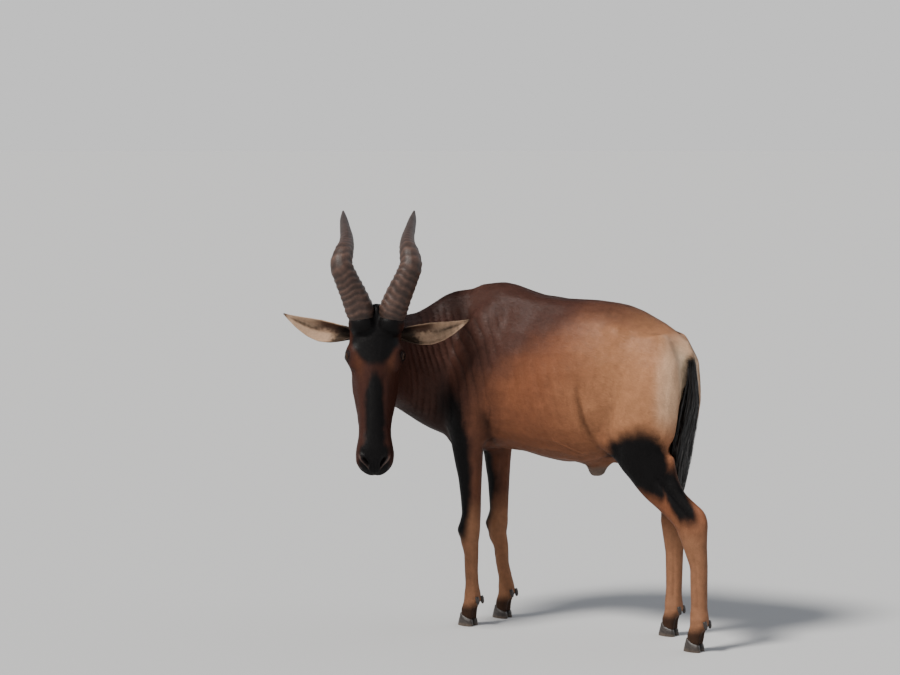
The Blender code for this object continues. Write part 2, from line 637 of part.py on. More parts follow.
def finished(name, bm, collection):
    mesh = bpy.data.meshes.new(name)
    bmesh.ops.triangulate(bm, faces=bm.faces)
    bm.to_mesh(mesh)
    bm.free()
    return new_object(name, mesh, collection)


def trim(bm, point, normal):
    """Cuts off what lies beyond a plane and closes the cut."""
    geometry = bm.verts[:] + bm.edges[:] + bm.faces[:]
    cut = bmesh.ops.bisect_plane(bm, geom=geometry, plane_co=point, plane_no=normal, clear_outer=True)
    edges = [e for e in cut["geom_cut"] if isinstance(e, bmesh.types.BMEdge)]
    bmesh.ops.holes_fill(bm, edges=edges)


def soften(obj, above, reach=0.16, rounds=36):
    """Smooths the broad muscles above a height, and less and less below it."""
    group = obj.vertex_groups.new(name="soft")
    for vert in obj.data.vertices:
        weight = min(1.0, max(0.0, (vert.co.z - above) / reach))
        if weight:
            group.add([vert.index], weight, "REPLACE")
    smooth = obj.modifiers.new("soften", "SMOOTH")
    smooth.vertex_group = group.name
    smooth.iterations = rounds
    smooth.factor = 0.5


def fused(name, bm, voxel, triangles, collection, rounds=7, soft_above=None):
    """One closed skin round all the overlapping forms, smoothed and thinned to about that many triangles."""
    rough = finished(name + "_forms", bm, collection)
    remesh = rough.modifiers.new("fuse", "REMESH")
    remesh.mode = "VOXEL"
    remesh.voxel_size = voxel
    smooth = rough.modifiers.new("smooth", "SMOOTH")
    smooth.iterations = rounds
    smooth.factor = 0.5
    dense = new_object(name + "_dense", evaluated_mesh(rough), collection)
    if soft_above is not None:
        soften(dense, soft_above)
    thin = dense.modifiers.new("thin", "DECIMATE")
    thin.ratio = triangles / (2 * len(dense.data.polygons))
    mesh = evaluated_mesh(dense)
    for spare in (rough, dense):
        bpy.data.objects.remove(spare, do_unlink=True)
    return new_object(name, mesh, collection)


def box_cutter(name, low, high, place, collection):
    """A box given in its own frame, hidden, for cutting."""
    bm = bmesh.new()
    low, high = Vector(low), Vector(high)
    scale = Matrix.Diagonal((*(high - low), 1.0))
    bmesh.ops.create_cube(bm, size=1.0, matrix=place @ Matrix.Translation((low + high) / 2) @ scale)
    bmesh.ops.recalc_face_normals(bm, faces=bm.faces)
    cutter = finished(name, bm, collection)
    cutter.hide_render = True
    cutter.display_type = "WIRE"
    return cutter


def combined(obj, cutter, operation):
    """The mesh of obj after a Boolean with cutter."""
    change = obj.modifiers.new(operation.lower(), "BOOLEAN")
    change.operation = operation
    change.object = cutter
    change.solver = "EXACT"
    mesh = evaluated_mesh(obj)
    obj.modifiers.remove(change)
    return mesh


def cut_with(obj, cutter):
    """Takes the cutter's shape out of obj. The cutter stays in the file as a hidden guide."""
    cutter.hide_render = True
    cutter.display_type = "WIRE"
    obj.data = combined(obj, cutter, "DIFFERENCE")


def part_off(body, name, low, high, place, parts, cutters):
    """Takes what lies in the box off the body as a node of its own, with a thin cut between the two."""
    inner = box_cutter(name + "_cutter", low, high, place, cutters)
    grown = Vector((GAP, GAP, GAP))
    outer = box_cutter(name + "_cut", Vector(low) - grown, Vector(high) + grown, place, cutters)
    piece = new_object(name, combined(body, inner, "INTERSECT"), parts)
    keep_largest(piece)
    body.data = combined(body, outer, "DIFFERENCE")
    return piece


def keep_largest(obj):
    """Drops any loose sliver that a cut left beside the piece itself."""
    bm = bmesh.new()
    bm.from_mesh(obj.data)
    islands, seen = [], set()
    for start in bm.verts:
        if start in seen:
            continue
        island, queue = [], [start]
        seen.add(start)
        while queue:
            vert = queue.pop()
            island.append(vert)
            for edge in vert.link_edges:
                other = edge.other_vert(vert)
                if other not in seen:
                    seen.add(other)
                    queue.append(other)
        islands.append(island)
    islands.sort(key=len)
    for island in islands[:-1]:
        bmesh.ops.delete(bm, geom=island, context="VERTS")
    bm.to_mesh(obj.data)
    bm.free()


def slope_frame(point, tilt_y=0.0, tilt_x=0.0):
    return (
        Matrix.Translation(point)
        @ Matrix.Rotation(math.radians(tilt_y), 4, "Y")
        @ Matrix.Rotation(math.radians(tilt_x), 4, "X")
    )


def build_body(parts, cutters):
    """Trunk, neck and legs, parted with thin cuts."""
    body = fused("trunk", body_forms(), BODY_VOXEL, BODY_TRIANGLES, parts, soft_above=SOFT_ABOVE_Z)
    cut_with(body, box_cutter("head_end", (-1.2, -0.8, 0.4), (-0.2, NECK_CUT_Y + GAP, 1.6), Matrix.Identity(4), cutters))
    build_feet(body, parts, cutters)
    build_tail(body, parts)
    place = Matrix.Translation(NECK_CUT_AT) @ Matrix.Rotation(NECK_CUT_TURN, 4, "Z")
    part_off(body, "neck", (-0.5, -0.6, -0.5), (0.0, 0.4, 0.5), place, parts, cutters)
    for side in (LEFT, RIGHT):
        low_y, high_y = sorted((side * 0.036, side * 0.300))
        word = SIDE_NAMES[side]
        for pair, cuts, front, back, joint_z in LEG_CUTS:
            cut_x, cut_z, tilt = cuts[side]
            foot = (cut_x - 0.28, low_y, -0.02)
            top = (cut_x + 0.32, high_y, joint_z)
            part_off(body, f"{pair}_cannon_{word}", foot, top, Matrix.Identity(4), parts, cutters)
            place = slope_frame((cut_x, 0.0, cut_z), tilt_y=tilt)
            part_off(body, f"{pair}leg_{word}", (front, low_y, -0.55), (back, high_y, 0.0), place, parts, cutters)
    keep_largest(body)
    return body


def settle(parts):
    """Moves everything so that the origin is under the middle of the whole animal, at the level of its soles."""
    points = [vert.co for obj in parts.objects for vert in obj.data.vertices]
    low = Vector(min(p[i] for p in points) for i in range(3))
    high = Vector(max(p[i] for p in points) for i in range(3))
    shift = Matrix.Translation((-(low.x + high.x) / 2, -(low.y + high.y) / 2, -low.z))
    for obj in bpy.data.objects:
        obj.data.transform(shift)


def dress(parts):
    """A material of its own for every node."""
    looks = (
        ("horn", HORN_GREY, 0.55), ("eye", EYE_BROWN, 0.05), ("hoof", HOOF_BLACK, 0.45),
        ("dewclaw", HOOF_BLACK, 0.45), ("tail_tuft", COAT_BLACK, 0.7), ("fore_cannon", COAT_TAN, 0.8),
        ("hind_cannon", COAT_TAN, 0.8),
    )
    for obj in parts.objects:
        colour, roughness = next(
            ((colour, rough) for start, colour, rough in looks if obj.name.startswith(start)), (COAT_BROWN, 0.8)
        )
        obj.data.materials.clear()
        obj.data.materials.append(new_material(obj.name, colour, roughness))


def main():
    clear_scene()
    parts = new_collection("red_hartebeest")
    cutters = new_collection("cutters")
    build_body(parts, cutters)
    build_head(parts, cutters)
    settle(parts)
    dress(parts)


main()
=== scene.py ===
"""Looks of a life-size red hartebeest: skin with its markings, short coat, tail, horns, eyes and hooves."""

import math

import bmesh
import bpy
import numpy as np
from mathutils import Matrix, Vector
from mathutils.bvhtree import BVHTree


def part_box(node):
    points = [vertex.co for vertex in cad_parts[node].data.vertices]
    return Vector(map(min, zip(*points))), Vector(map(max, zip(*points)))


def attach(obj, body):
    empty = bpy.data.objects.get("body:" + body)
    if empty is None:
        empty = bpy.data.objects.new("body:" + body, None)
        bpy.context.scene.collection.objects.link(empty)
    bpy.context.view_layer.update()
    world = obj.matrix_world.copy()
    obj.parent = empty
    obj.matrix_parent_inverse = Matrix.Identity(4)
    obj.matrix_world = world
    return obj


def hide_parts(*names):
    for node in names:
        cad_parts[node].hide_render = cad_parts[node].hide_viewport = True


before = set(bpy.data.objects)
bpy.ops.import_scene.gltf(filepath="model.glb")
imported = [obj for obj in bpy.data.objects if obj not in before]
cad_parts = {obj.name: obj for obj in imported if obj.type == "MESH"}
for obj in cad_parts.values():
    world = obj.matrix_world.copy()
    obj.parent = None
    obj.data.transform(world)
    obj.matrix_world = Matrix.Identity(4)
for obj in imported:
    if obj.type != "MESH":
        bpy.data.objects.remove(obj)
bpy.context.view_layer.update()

bl_info = {
    "name": "Red hartebeest",
    "version": (1, 0, 0),
    "blender": (4, 5, 0),
    "location": "View3D > Sidebar > Hartebeest",
    "description": "Skin, coat, tail, horns, eyes, hooves and stage of a standing red hartebeest",
    "category": "Add Mesh",
}

LEFT, RIGHT = -1, 1
SIDE_NAMES = {LEFT: "left", RIGHT: "right"}
FLESH = ("trunk", "neck", "head", "foreleg", "fore_cannon", "hindleg", "hind_cannon", "tail_dock")


# ---------------------------------------------------------------- places

# Body axes: X from chest to tail, Y from left to right, Z up, from a point on the floor under the back.
HEAD_IN_BODY = np.array((-0.6545, -0.4740, 1.1310))

# Head axes: X up the face from nose to poll, Y to its right, Z out of the forehead.
EYE_RADIUS = 0.0195
EYE_IN_HEAD = (-0.120, 0.0870, -0.051)
HEAD_ASIDE, HEAD_DOWN = math.radians(121), math.radians(-76)
HEAD_TURN = np.array(Matrix.Rotation(HEAD_ASIDE, 3, "Z") @ Matrix.Rotation(HEAD_DOWN, 3, "Y"))


def node_middle(name):
    low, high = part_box(name)
    return np.array((low + high) / 2)


EYES = {side: node_middle("eye_" + SIDE_NAMES[side]) for side in (LEFT, RIGHT)}
HEAD_ORIGIN = (EYES[LEFT] + EYES[RIGHT]) / 2 - HEAD_TURN @ (EYE_IN_HEAD[0], 0.0, EYE_IN_HEAD[2])
HEAD_PLACE = Matrix.Translation(HEAD_ORIGIN) @ Matrix(HEAD_TURN.tolist()).to_4x4()
BODY_ORIGIN = (HEAD_ORIGIN - HEAD_IN_BODY) * (1, 1, 0)


def in_body(points):
    return points - BODY_ORIGIN


def in_head(points):
    return (points - HEAD_ORIGIN) @ HEAD_TURN


def step(low, high, values):
    """Rises smoothly from 0 at low to 1 at high, or falls if low is the larger."""
    share = np.clip((values - low) / (high - low), 0.0, 1.0)
    return share * share * (3 - 2 * share)


def between(low, high, values, soft):
    return step(low - soft, low + soft, values) * step(high + soft, high - soft, values)


def bump_at(values, middle, width):
    return np.exp(-((values - middle) / width) ** 2)


def clouds(points, size, seed=0):
    """Smooth noise from -1 to 1 whose lumps are about that size, the same at the same place each time."""
    spot = points / size + seed * 17.31
    cell = np.floor(spot).astype(np.int64)
    part = spot - cell
    part = part * part * (3 - 2 * part)
    total = np.zeros(len(points))
    for corner in range(8):
        offset = np.array((corner & 1, corner >> 1 & 1, corner >> 2 & 1))
        at = cell + offset
        stirred = (at[:, 0] * 73856093) ^ (at[:, 1] * 19349663) ^ (at[:, 2] * 83492791) ^ (seed * 2654435)
        stirred = (stirred ^ (stirred >> 13)) * 1274126177
        value = ((stirred ^ (stirred >> 16)) & 0xFFFF) / 32767.5 - 1
        total += value * np.prod(np.where(offset, part, 1 - part), axis=1)
    return total


# ---------------------------------------------------------------- meshes

def read_points(mesh):
    points = np.empty(len(mesh.vertices) * 3, np.float32)
    mesh.vertices.foreach_get("co", points)
    return points.reshape(-1, 3).astype(float)


def write_points(mesh, points):
    mesh.vertices.foreach_set("co", points.astype(np.float32).ravel())
    mesh.update()


def read_normals(mesh):
    normals = np.empty(len(mesh.vertices) * 3, np.float32)
    mesh.vertex_normals.foreach_get("vector", normals)
    return normals.reshape(-1, 3).astype(float)


def read_edges(mesh):
    edges = np.empty(len(mesh.edges) * 2, np.int32)
    mesh.edges.foreach_get("vertices", edges)
    return edges.reshape(-1, 2)


def relaxed(points, edges, rounds, weight=1.0):
    """The points drawn towards their neighbours and, to keep the size, pushed back out each time."""
    a, b = edges.T
    size = len(points)
    count = np.maximum(np.bincount(edges.ravel(), minlength=size), 1)[:, None]
    weight = np.broadcast_to(weight, (size,))[:, None]
    for _ in range(rounds):
        for factor in (0.5, -0.52):
            total = np.stack([
                np.bincount(a, points[b, i], size) + np.bincount(b, points[a, i], size) for i in range(3)
            ], axis=1)
            points = points + factor * weight * (total / count - points)
    return points


def new_object(name, mesh):
    obj = bpy.data.objects.new(name, mesh)
    bpy.context.scene.collection.objects.link(obj)
    return obj


def object_from(name, bm):
    mesh = bpy.data.meshes.new(name)
    bm.to_mesh(mesh)
    bm.free()
    return new_object(name, mesh)


def apply_modifiers(obj):
    graph = bpy.context.evaluated_depsgraph_get()
    shaped = obj.evaluated_get(graph)
    mesh = bpy.data.meshes.new_from_object(shaped, preserve_all_data_layers=True, depsgraph=graph)
    obj.modifiers.clear()
    old, obj.data = obj.data, mesh
    bpy.data.meshes.remove(old)
    mesh.name = obj.name


def finish_piece(obj, material, replaced=()):
    obj.data.materials.clear()
    obj.data.materials.append(material)
    obj.data.shade_smooth()
    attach(obj, "root")
    if replaced:
        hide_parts(*replaced)
    return obj


def nodes_named(*starts):
    return sorted(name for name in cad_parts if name.startswith(starts))


def merged_copy(node):
    """A copy of a CAD node with its loose triangles welded."""
    bm = bmesh.new()
    bm.from_mesh(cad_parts[node].data)
    bmesh.ops.remove_doubles(bm, verts=bm.verts, dist=1e-5)
    bm.normal_update()
    return bm


def pour(bm, into):
    """Adds what one bmesh holds to another and frees it."""
    mesh = bpy.data.meshes.new("poured")
    bm.to_mesh(mesh)
    bm.free()
    into.from_mesh(mesh)
    bpy.data.meshes.remove(mesh)


def set_colours(mesh, name, colours):
    layer = mesh.color_attributes.get(name) or mesh.color_attributes.new(name, "FLOAT_COLOR", "POINT")
    rgba = np.ones((len(colours), 4), np.float32)
    rgba[:, :3] = colours
    layer.data.foreach_set("color", rgba.ravel())


# ---------------------------------------------------------------- materials

def node_material(name, roughness, specular):
    """A material whose shader is ready for its links, and a function that adds a node to it."""
    material = bpy.data.materials.new(name)
    material.use_nodes = True
    tree = material.node_tree
    shader = tree.nodes["Principled BSDF"]
    shader.inputs["Roughness"].default_value = roughness
    shader.inputs["Specular IOR Level"].default_value = specular

    def add(kind, **settings):
        node = tree.nodes.new(kind)
        for key, value in settings.items():
            if key in node.inputs:
                node.inputs[key].default_value = value
            else:
                setattr(node, key, value)
        return node

    return material, tree.links, shader, add


def noise_bump(links, shader, add, scale, distance, strength, stretch=None):
    """Fine relief from noise on the object's own coordinates."""
    place = add("ShaderNodeTexCoord")
    vector = place.outputs["Object"]
    if stretch:
        mapping = add("ShaderNodeMapping")
        mapping.inputs["Scale"].default_value = stretch
        links.new(vector, mapping.inputs["Vector"])
        vector = mapping.outputs["Vector"]
    noise = add("ShaderNodeTexNoise", Scale=scale, Detail=4.0)
    links.new(vector, noise.inputs["Vector"])
    bump = add("ShaderNodeBump", Strength=strength, Distance=distance)
    links.new(noise.outputs["Fac"], bump.inputs["Height"])
    links.new(bump.outputs["Normal"], shader.inputs["Normal"])


def tinted(links, shader, add, colour, scale, low, high):
    """Base colour from a colour socket, made lighter and darker by noise."""
    place = add("ShaderNodeTexCoord")
    noise = add("ShaderNodeTexNoise", Scale=scale, Detail=5.0)
    links.new(place.outputs["Object"], noise.inputs["Vector"])
    spread = add("ShaderNodeMapRange")
    spread.inputs["From Min"].default_value = 0.3
    spread.inputs["From Max"].default_value = 0.7
    spread.inputs["To Min"].default_value = low
    spread.inputs["To Max"].default_value = high
    links.new(noise.outputs["Fac"], spread.inputs["Value"])
    mix = add("ShaderNodeVectorMath", operation="SCALE")
    links.new(colour, mix.inputs[0])
    links.new(spread.outputs["Result"], mix.inputs["Scale"])
    links.new(mix.outputs["Vector"], shader.inputs["Base Color"])


def marked_material(name, roughness, specular, tint, relief=None):
    """Coloured by the mesh's markings, mottled by a noise of that scale and range, with fine relief."""
    material, links, shader, add = node_material(name, roughness, specular)
    colour = add("ShaderNodeAttribute", attribute_name="marking")
    tinted(links, shader, add, colour.outputs["Color"], *tint)
    if relief:
        noise_bump(links, shader, add, *relief)
    return material


def skin_material():
    return marked_material("hartebeest_skin", 0.50, 0.12, (160.0, 0.82, 1.15), (420.0, 0.0012, 0.5))


def coat_material():
    return marked_material("short_coat", 0.46, 0.12, (45.0, 0.90, 1.10))


def tail_hair_material():
    return marked_material("tail_hair", 0.30, 0.65, (90.0, 0.8, 1.2))


def horn_material():
    return marked_material("horn_sheath", 0.50, 0.30, (70.0, 0.72, 1.22), (260.0, 0.0012, 0.8))


def hoof_material():
    return marked_material("hoof_horn", 0.40, 0.4, (90.0, 0.7, 1.3), (300.0, 0.0010, 0.7, (1, 1, 3)))


def eye_material():
    """Wet and dark, with weaker mirroring than glass."""
    material = marked_material("eyeball", 0.10, 0.5, (900.0, 0.75, 1.3))
    material.node_tree.nodes["Principled BSDF"].inputs["IOR"].default_value = 1.25
    return material


# ---------------------------------------------------------------- markings

def plain(colour, points):
    """One colour for every point."""
    return np.tile(np.array(colour), (len(points), 1))


def mixed(colours, colour, weight):
    return colours + (np.asarray(colour) - colours) * np.clip(weight, 0, 1)[:, None]


def distances(points, place):
    return np.linalg.norm(points - place, axis=1)


def leg_middle(x, z, hind, right):
    """How far a point is behind the middle line of its leg, seen from the side."""
    if hind:
        heights = (0.05, 0.112, 0.30, 0.43, 0.56, 0.70, 0.85)
        line = (0.235, 0.238, 0.238, 0.238, 0.190, 0.156, 0.185) if right else (
            0.430, 0.438, 0.424, 0.403, 0.315, 0.213, 0.215)
    else:
        heights = (0.05, 0.112, 0.35, 0.63, 0.80, 0.95)
        line = (-0.460, -0.444, -0.484, -0.478, -0.47, -0.46) if right else (
            -0.492, -0.476, -0.488, -0.480, -0.47, -0.46)
    return x - np.interp(z, heights, line)


def limb_markings(points, colours, tones, soft):
    """Tan lower legs, and black on shoulder, front of the foreleg, thigh and before the hock tendon."""
    x, y, z = in_body(points).T
    colours = mixed(colours, tones["tan"], step(0.50, 0.36, z + soft))
    flat = np.abs(y)
    # Markings wrap round the limbs: they reach further back on the outside than on the inside.
    slant = x - 0.60 * (flat - 0.12)
    for side in (LEFT, RIGHT):
        on_side = y * side > 0
        edge = np.interp(z, (0.28, 0.39, 0.50, 0.585, 0.69, 0.79, 0.845, 0.94), (
            -0.505, -0.487, -0.468, -0.474, -0.490, -0.508, -0.535, -0.590))
        edge = edge + (0.030 * step(0.30, 0.12, z) if side == LEFT else 0.022)
        fore = step(edge + 0.019, edge - 0.019, slant + 0.6 * soft) * step(0.285, 0.345, z + soft)
        fore *= step(0.97, 0.82, z + soft) * (x < -0.25) * step(0.200, 0.160, flat)
        front = step(-0.670, -0.610, slant) * (z > 0.70) + (z <= 0.70)
        colours = mixed(colours, tones["black"], fore * front * on_side)
        leg = slant - (-0.022 if side == RIGHT else 0.0)
        top = np.interp(leg, (0.08, 0.13, 0.19, 0.25, 0.30), (0.735, 0.757, 0.772, 0.762, 0.725))
        back = np.interp(z, (0.48, 0.555, 0.63, 0.70, 0.75), (0.275, 0.318, 0.322, 0.312, 0.300))
        thigh = step(top + 0.036, top - 0.046, z + 1.1 * soft)
        thigh *= step(back + 0.014, back - 0.020, leg + soft)
        thigh *= step(0.062, 0.104, leg + 0.10 * np.maximum(z - 0.62, 0) + soft)
        thigh *= step(0.520, 0.575, z + 0.30 * (leg - 0.2) + soft)
        if side == LEFT:
            low = np.interp(z, (0.44, 0.50, 0.56, 0.62), (0.366, 0.330, 0.296, 0.270))
            high = np.interp(z, (0.44, 0.50, 0.56, 0.62), (0.436, 0.422, 0.386, 0.350))
        else:
            middle = -leg_middle(np.zeros(len(z)), z, True, True)
            low, high = middle - 0.022, middle + 0.036
        stripe = between(low, high, leg + 0.6 * soft, 0.014) * between(0.452, 0.640, z + 0.8 * soft, 0.026)
        stripe *= step(0.050, 0.075, flat)
        limb = np.maximum(thigh, stripe) * on_side * (x > 0.0) * step(0.035, 0.075, flat)
        colours = mixed(colours, tones["black"], limb)
    return mixed(colours, tones["black"], 0.85 * step(0.100, 0.060, z))


def face_markings(points, tones):
    """A dark brown face, partly its own colour and partly painted shade, with black from the horns to between
    the eyes, a black blaze, nose and chin.
    """
    u, v, w = in_head(points).T
    across = np.abs(v)
    soft = 0.006 * clouds(points, 0.022, 3) + 0.0025 * clouds(points, 0.008, 4)
    colours = mixed(plain(tones["cheek"], points), tones["neck"], 0.7 * step(-0.085, -0.15, w))
    brow = bump_at(u, -0.150, 0.045) * bump_at(across, 0.056, 0.018) * step(-0.06, -0.02, w)
    colours = mixed(colours, tones["brown"], 0.28 * brow)
    tip = -0.158 + 12.0 * np.maximum(across - 0.012, 0) ** 2 + 0.30 * np.maximum(across - 0.030, 0)
    forehead = step(tip - 0.018, tip + 0.018, u + soft)
    forehead *= step(0.104, 0.074, across - 0.5 * np.minimum(w + 0.02, 0))
    width = np.interp(u, (-0.47, -0.42, -0.30, -0.24, -0.19), (0.046, 0.034, 0.032, 0.030, 0.012))
    blaze = step(width + 0.012, width - 0.010, across + soft) * step(-0.162, -0.205, u + soft)
    blaze *= step(-0.065, -0.035, w)
    nose = step(-0.425, -0.465, u + soft) * step(0.060, 0.032, across + 0.15 * w + soft)
    chin = step(-0.102, -0.120, w + soft) * step(-0.38, -0.45, u)
    poll = step(-0.022, 0.008, u + soft)
    eye_ring = sum(bump_at(distances(points, EYES[side]), 0.019, 0.010) for side in (LEFT, RIGHT))
    for part in (forehead, blaze, nose, chin, poll, 0.85 * np.minimum(eye_ring, 1)):
        colours = mixed(colours, tones["black"], part)
    for side in (LEFT, RIGHT):
        measure, c, _, b = nostril_measure(in_head(points), side)
        rim = bump_at(measure, 1.35, 0.30) * step(0.030, 0.022, np.abs(c)) * (v * side > 0)
        rim *= step(0.0, 0.004, -b * side)
        colours = mixed(colours, (0.150, 0.095, 0.080), 0.40 * rim)
    lips = bump_at(w, -0.088, 0.014) * step(-0.40, -0.46, u) * step(0.020, 0.045, across)
    return mixed(colours, tones["cheek"], 0.55 * lips)


def in_ear(points, side):
    """Share of the ear's length, place across it from -1 below to 1 above, its axes, and a test for it."""
    place = np.array(ear_place(side))
    local = (points - place[:3, 3]) @ np.linalg.inv(place[:3, :3]).T
    along = local[:, 1] / EAR_LENGTH
    share = np.clip(along, 0, 1)
    shares, widths, _ = np.array(EAR_SHAPE).T
    curl = -0.010 * np.sin(np.pi * share) + 0.030 * share ** 3
    across = (local[:, 0] - curl) / (0.5 * np.interp(share, shares, widths))
    v = in_head(points)[:, 1] * side
    inside = (v > 0.0915) & (along < 1.1) & (np.abs(across) < 1.6) & (np.abs(local[:, 2] + 0.022) < 0.042)
    return along, across, place[:3, :3], inside


def on_ears(points):
    return in_ear(points, LEFT)[3] | in_ear(points, RIGHT)[3]


def ear_markings(points, normals, colours, tones):
    """Ears brown outside, and inside cream with a dark streak, a brown hollow above and pale edges."""
    for side in (LEFT, RIGHT):
        along, place, axes, ear = in_ear(points, side)
        share = np.clip(along, 0, 1)
        streaks = 0.20 * clouds(points, 0.006, 7) + 0.12 * clouds(points, 0.016, 8)
        brown = 0.9 * step(-0.15, 0.35, place + streaks) * step(0.62, 0.40, share) * step(0.97, 0.80, place)
        inside = mixed(plain(tones["ear_inside"], points), tones["cheek"], brown)
        streak = bump_at(place, 0.10 + 0.25 * (share - 0.6), 0.26) * between(0.48, 0.88, share, 0.06)
        inside = mixed(inside, tones["black"], 0.85 * streak * np.clip(0.8 + 1.4 * streaks, 0, 1))
        inside = mixed(inside, tones["black"], 0.9 * step(0.33, 0.17, share + 0.08 * place + 0.2 * streaks))
        outside = mixed(plain(tones["ear"], points), tones["black"], step(0.24, 0.10, share))
        outside = mixed(outside, tones["cheek"], 0.6 * step(0.3, 0.9, np.abs(place)))
        blend = step(-0.10, 0.20, normals @ (axes[:, 2] / np.linalg.norm(axes[:, 2])))[:, None]
        shaded = outside + (inside - outside) * blend
        shaded = mixed(shaded, tones["black"], 0.8 * step(0.90, 0.99, share))
        colours = np.where(ear[:, None], shaded, colours)
    return colours


def markings(points, normals, tones):
    """The coat's colour at each point: brown, darker over the shoulders, withers and back partly as its own
    colour and partly as painted shade, with a pale rump and black face and limbs.
    """
    x, y, z = in_body(points).T
    soft = 0.012 * clouds(points, 0.05, 1) + 0.005 * clouds(points, 0.015, 2)
    colours = plain(tones["brown"], points)
    back = np.interp(x, (-0.70, -0.45, -0.20, 0.10, 0.30, 0.36), (1.16, 1.25, 1.20, 1.18, 1.10, 1.02))
    below = back - z + soft
    rump = step(-0.20, 0.24, x - 0.25 * (z - 0.9) + 2 * soft) * step(0.60, 0.86, z + soft)
    colours = mixed(colours, tones["rump"], 0.95 * rump)
    # Partly painted shade: the front half, the ridge of the back and the hump are darkened both as the
    # animal's dark back and as painted shade.
    edge = np.interp(z, (0.60, 0.91, 1.10, 1.20), (-0.42, -0.36, -0.09, 0.08))
    saddle_and_shade = step(0.14, -0.16, x - edge + 2 * soft)
    ridge = step(0.085, 0.01, below) * step(0.34, 0.05, x)
    hump = step(0.16, 0.03, below) * between(-0.52, -0.12, x, 0.10)
    colours = mixed(colours, tones["saddle_and_shade"], np.maximum(0.92 * saddle_and_shade, 0.75 * ridge))
    colours = mixed(colours, tones["neck"], 0.65 * hump)
    dock = np.sqrt(
        ((x - 0.325) / 0.058) ** 2 + ((z - 0.945) / 0.110) ** 2 + ((np.abs(y) - 0.055) / 0.050) ** 2)
    colours = mixed(colours, tones["pale"], 0.95 * step(1.25, 0.45, dock + 3 * soft))
    colours = mixed(colours, tones["pale"], 0.45 * step(0.26, 0.33, x) * step(0.72, 0.86, z))
    belly = step(0.72, 0.60, z + soft) * step(-0.40, -0.30, x) * step(0.24, 0.10, x)
    colours = mixed(colours, tones["belly"], 0.6 * belly)
    sheath = np.sqrt(((x + 0.018) / 0.050) ** 2 + (y / 0.035) ** 2 + ((z - 0.596) / 0.036) ** 2)
    colours = mixed(colours, (0.150, 0.115, 0.092), 0.9 * step(1.3, 0.7, sheath))
    tail = step(0.330, 0.345, x) * step(0.042, 0.030, np.abs(y + 0.008)) * step(1.055, 1.000, z + 2 * soft)
    colours = mixed(colours, tones["black"], tail)
    colours = limb_markings(points, colours, tones, soft)

    # The neck is darker than the trunk, partly in its own colour and partly as painted shade, nearly black
    # along the nape and under the throat.
    neck = step(-0.46, -0.60, x - 0.35 * y) * step(0.62, 0.70, z)
    colours = mixed(colours, tones["neck"], 0.85 * neck)
    nape = step(0.085, 0.02, back - 0.03 - z) * step(-0.50, -0.62, x - 0.3 * y)
    throat = step(-0.55, -0.63, x - 0.2 * y) * step(0.86, 0.76, z + soft) * step(0.64, 0.70, z)
    colours = mixed(colours, tones["black"], np.maximum(0.6 * nape, 0.45 * throat))
    head = step(-0.245, -0.315, y) * step(0.5, 0.6, z)
    colours += (face_markings(points, tones) - colours) * head[:, None]
    colours = ear_markings(points, normals, colours, tones)
    shade = 1 + 0.06 * clouds(points, 0.030, 5) + 0.05 * clouds(points, 0.007, 6)
    # Painted shade: the coat is darkened in the folds of the neck and in the creases of the flank and elbow.
    shade *= 1 - 0.75 * np.clip(body_folds(points, normals)[1], 0, 0.9)
    return np.clip(colours * shade[:, None], 0.002, 1)


# ---------------------------------------------------------------- skin

VOXEL = 0.0062
SKIN_TRIANGLES = 165000
OVERLAP = 0.0005
COLLAR = (0.046, 0.0510, 0.0510, 1.0)
COLLAR_AT = (-0.008, 0.0500, -0.022)
LID_LONG = np.array((-0.88, 0.0, 0.47))


def coat_depth(points):
    """How far the coat stands over the skin: least on the face, the ears and the feet."""
    _, y, z = in_body(points).T
    depth = np.interp(z, (0.0, 0.30, 0.55, 0.75), (0.0012, 0.0014, 0.0018, 0.0024))
    head = step(-0.22, -0.34, y)
    return depth + (0.0013 - depth) * head


def flesh_cage():
    """Every node of flesh grown a little so that they join, with the seats of eyes and horns filled."""
    joined = bmesh.new()
    for name in nodes_named(*FLESH):
        part = merged_copy(name)
        for vert in part.verts:
            vert.co += vert.normal * OVERLAP
        pour(part, joined)
    for side in (LEFT, RIGHT):
        bmesh.ops.create_icosphere(
            joined, subdivisions=3, radius=EYE_RADIUS * 0.985, matrix=Matrix.Translation(EYES[side]))
        # The forehead swells into a collar round the foot of each horn.
        up, out, forward = COLLAR_AT
        seat = HEAD_PLACE @ Matrix.Translation((up, HORN_MIDDLE_Y + side * out, forward))
        bmesh.ops.create_icosphere(joined, subdivisions=3, radius=1.0, matrix=seat @ Matrix.Diagonal(COLLAR))
    return object_from("skin", joined)


def subdivide_where(mesh, inside):
    """Splits every edge with both ends inside, and keeps the faces round about to four sides."""
    bm = bmesh.new()
    bm.from_mesh(mesh)
    edges = [edge for edge in bm.edges if inside[edge.verts[0].index] and inside[edge.verts[1].index]]
    bmesh.ops.subdivide_edges(bm, edges=edges, cuts=1, use_grid_fill=True)
    bmesh.ops.triangulate(bm, faces=[face for face in bm.faces if len(face.verts) > 4])
    bm.to_mesh(mesh)
    bm.free()


def push(points, way, amount):
    return points + np.asarray(way) * np.asarray(amount)[:, None]


def lid_frame(side):
    """Where the eye looks, the long way of its opening, and the way across it."""
    look = np.array((-0.03, side * 0.90, 0.43))
    look /= np.linalg.norm(look)
    long = LID_LONG - look * (LID_LONG @ look)
    long /= np.linalg.norm(long)
    across = np.cross(look, long)
    if across[0] < 0:
        across = -across
    return look, long, across


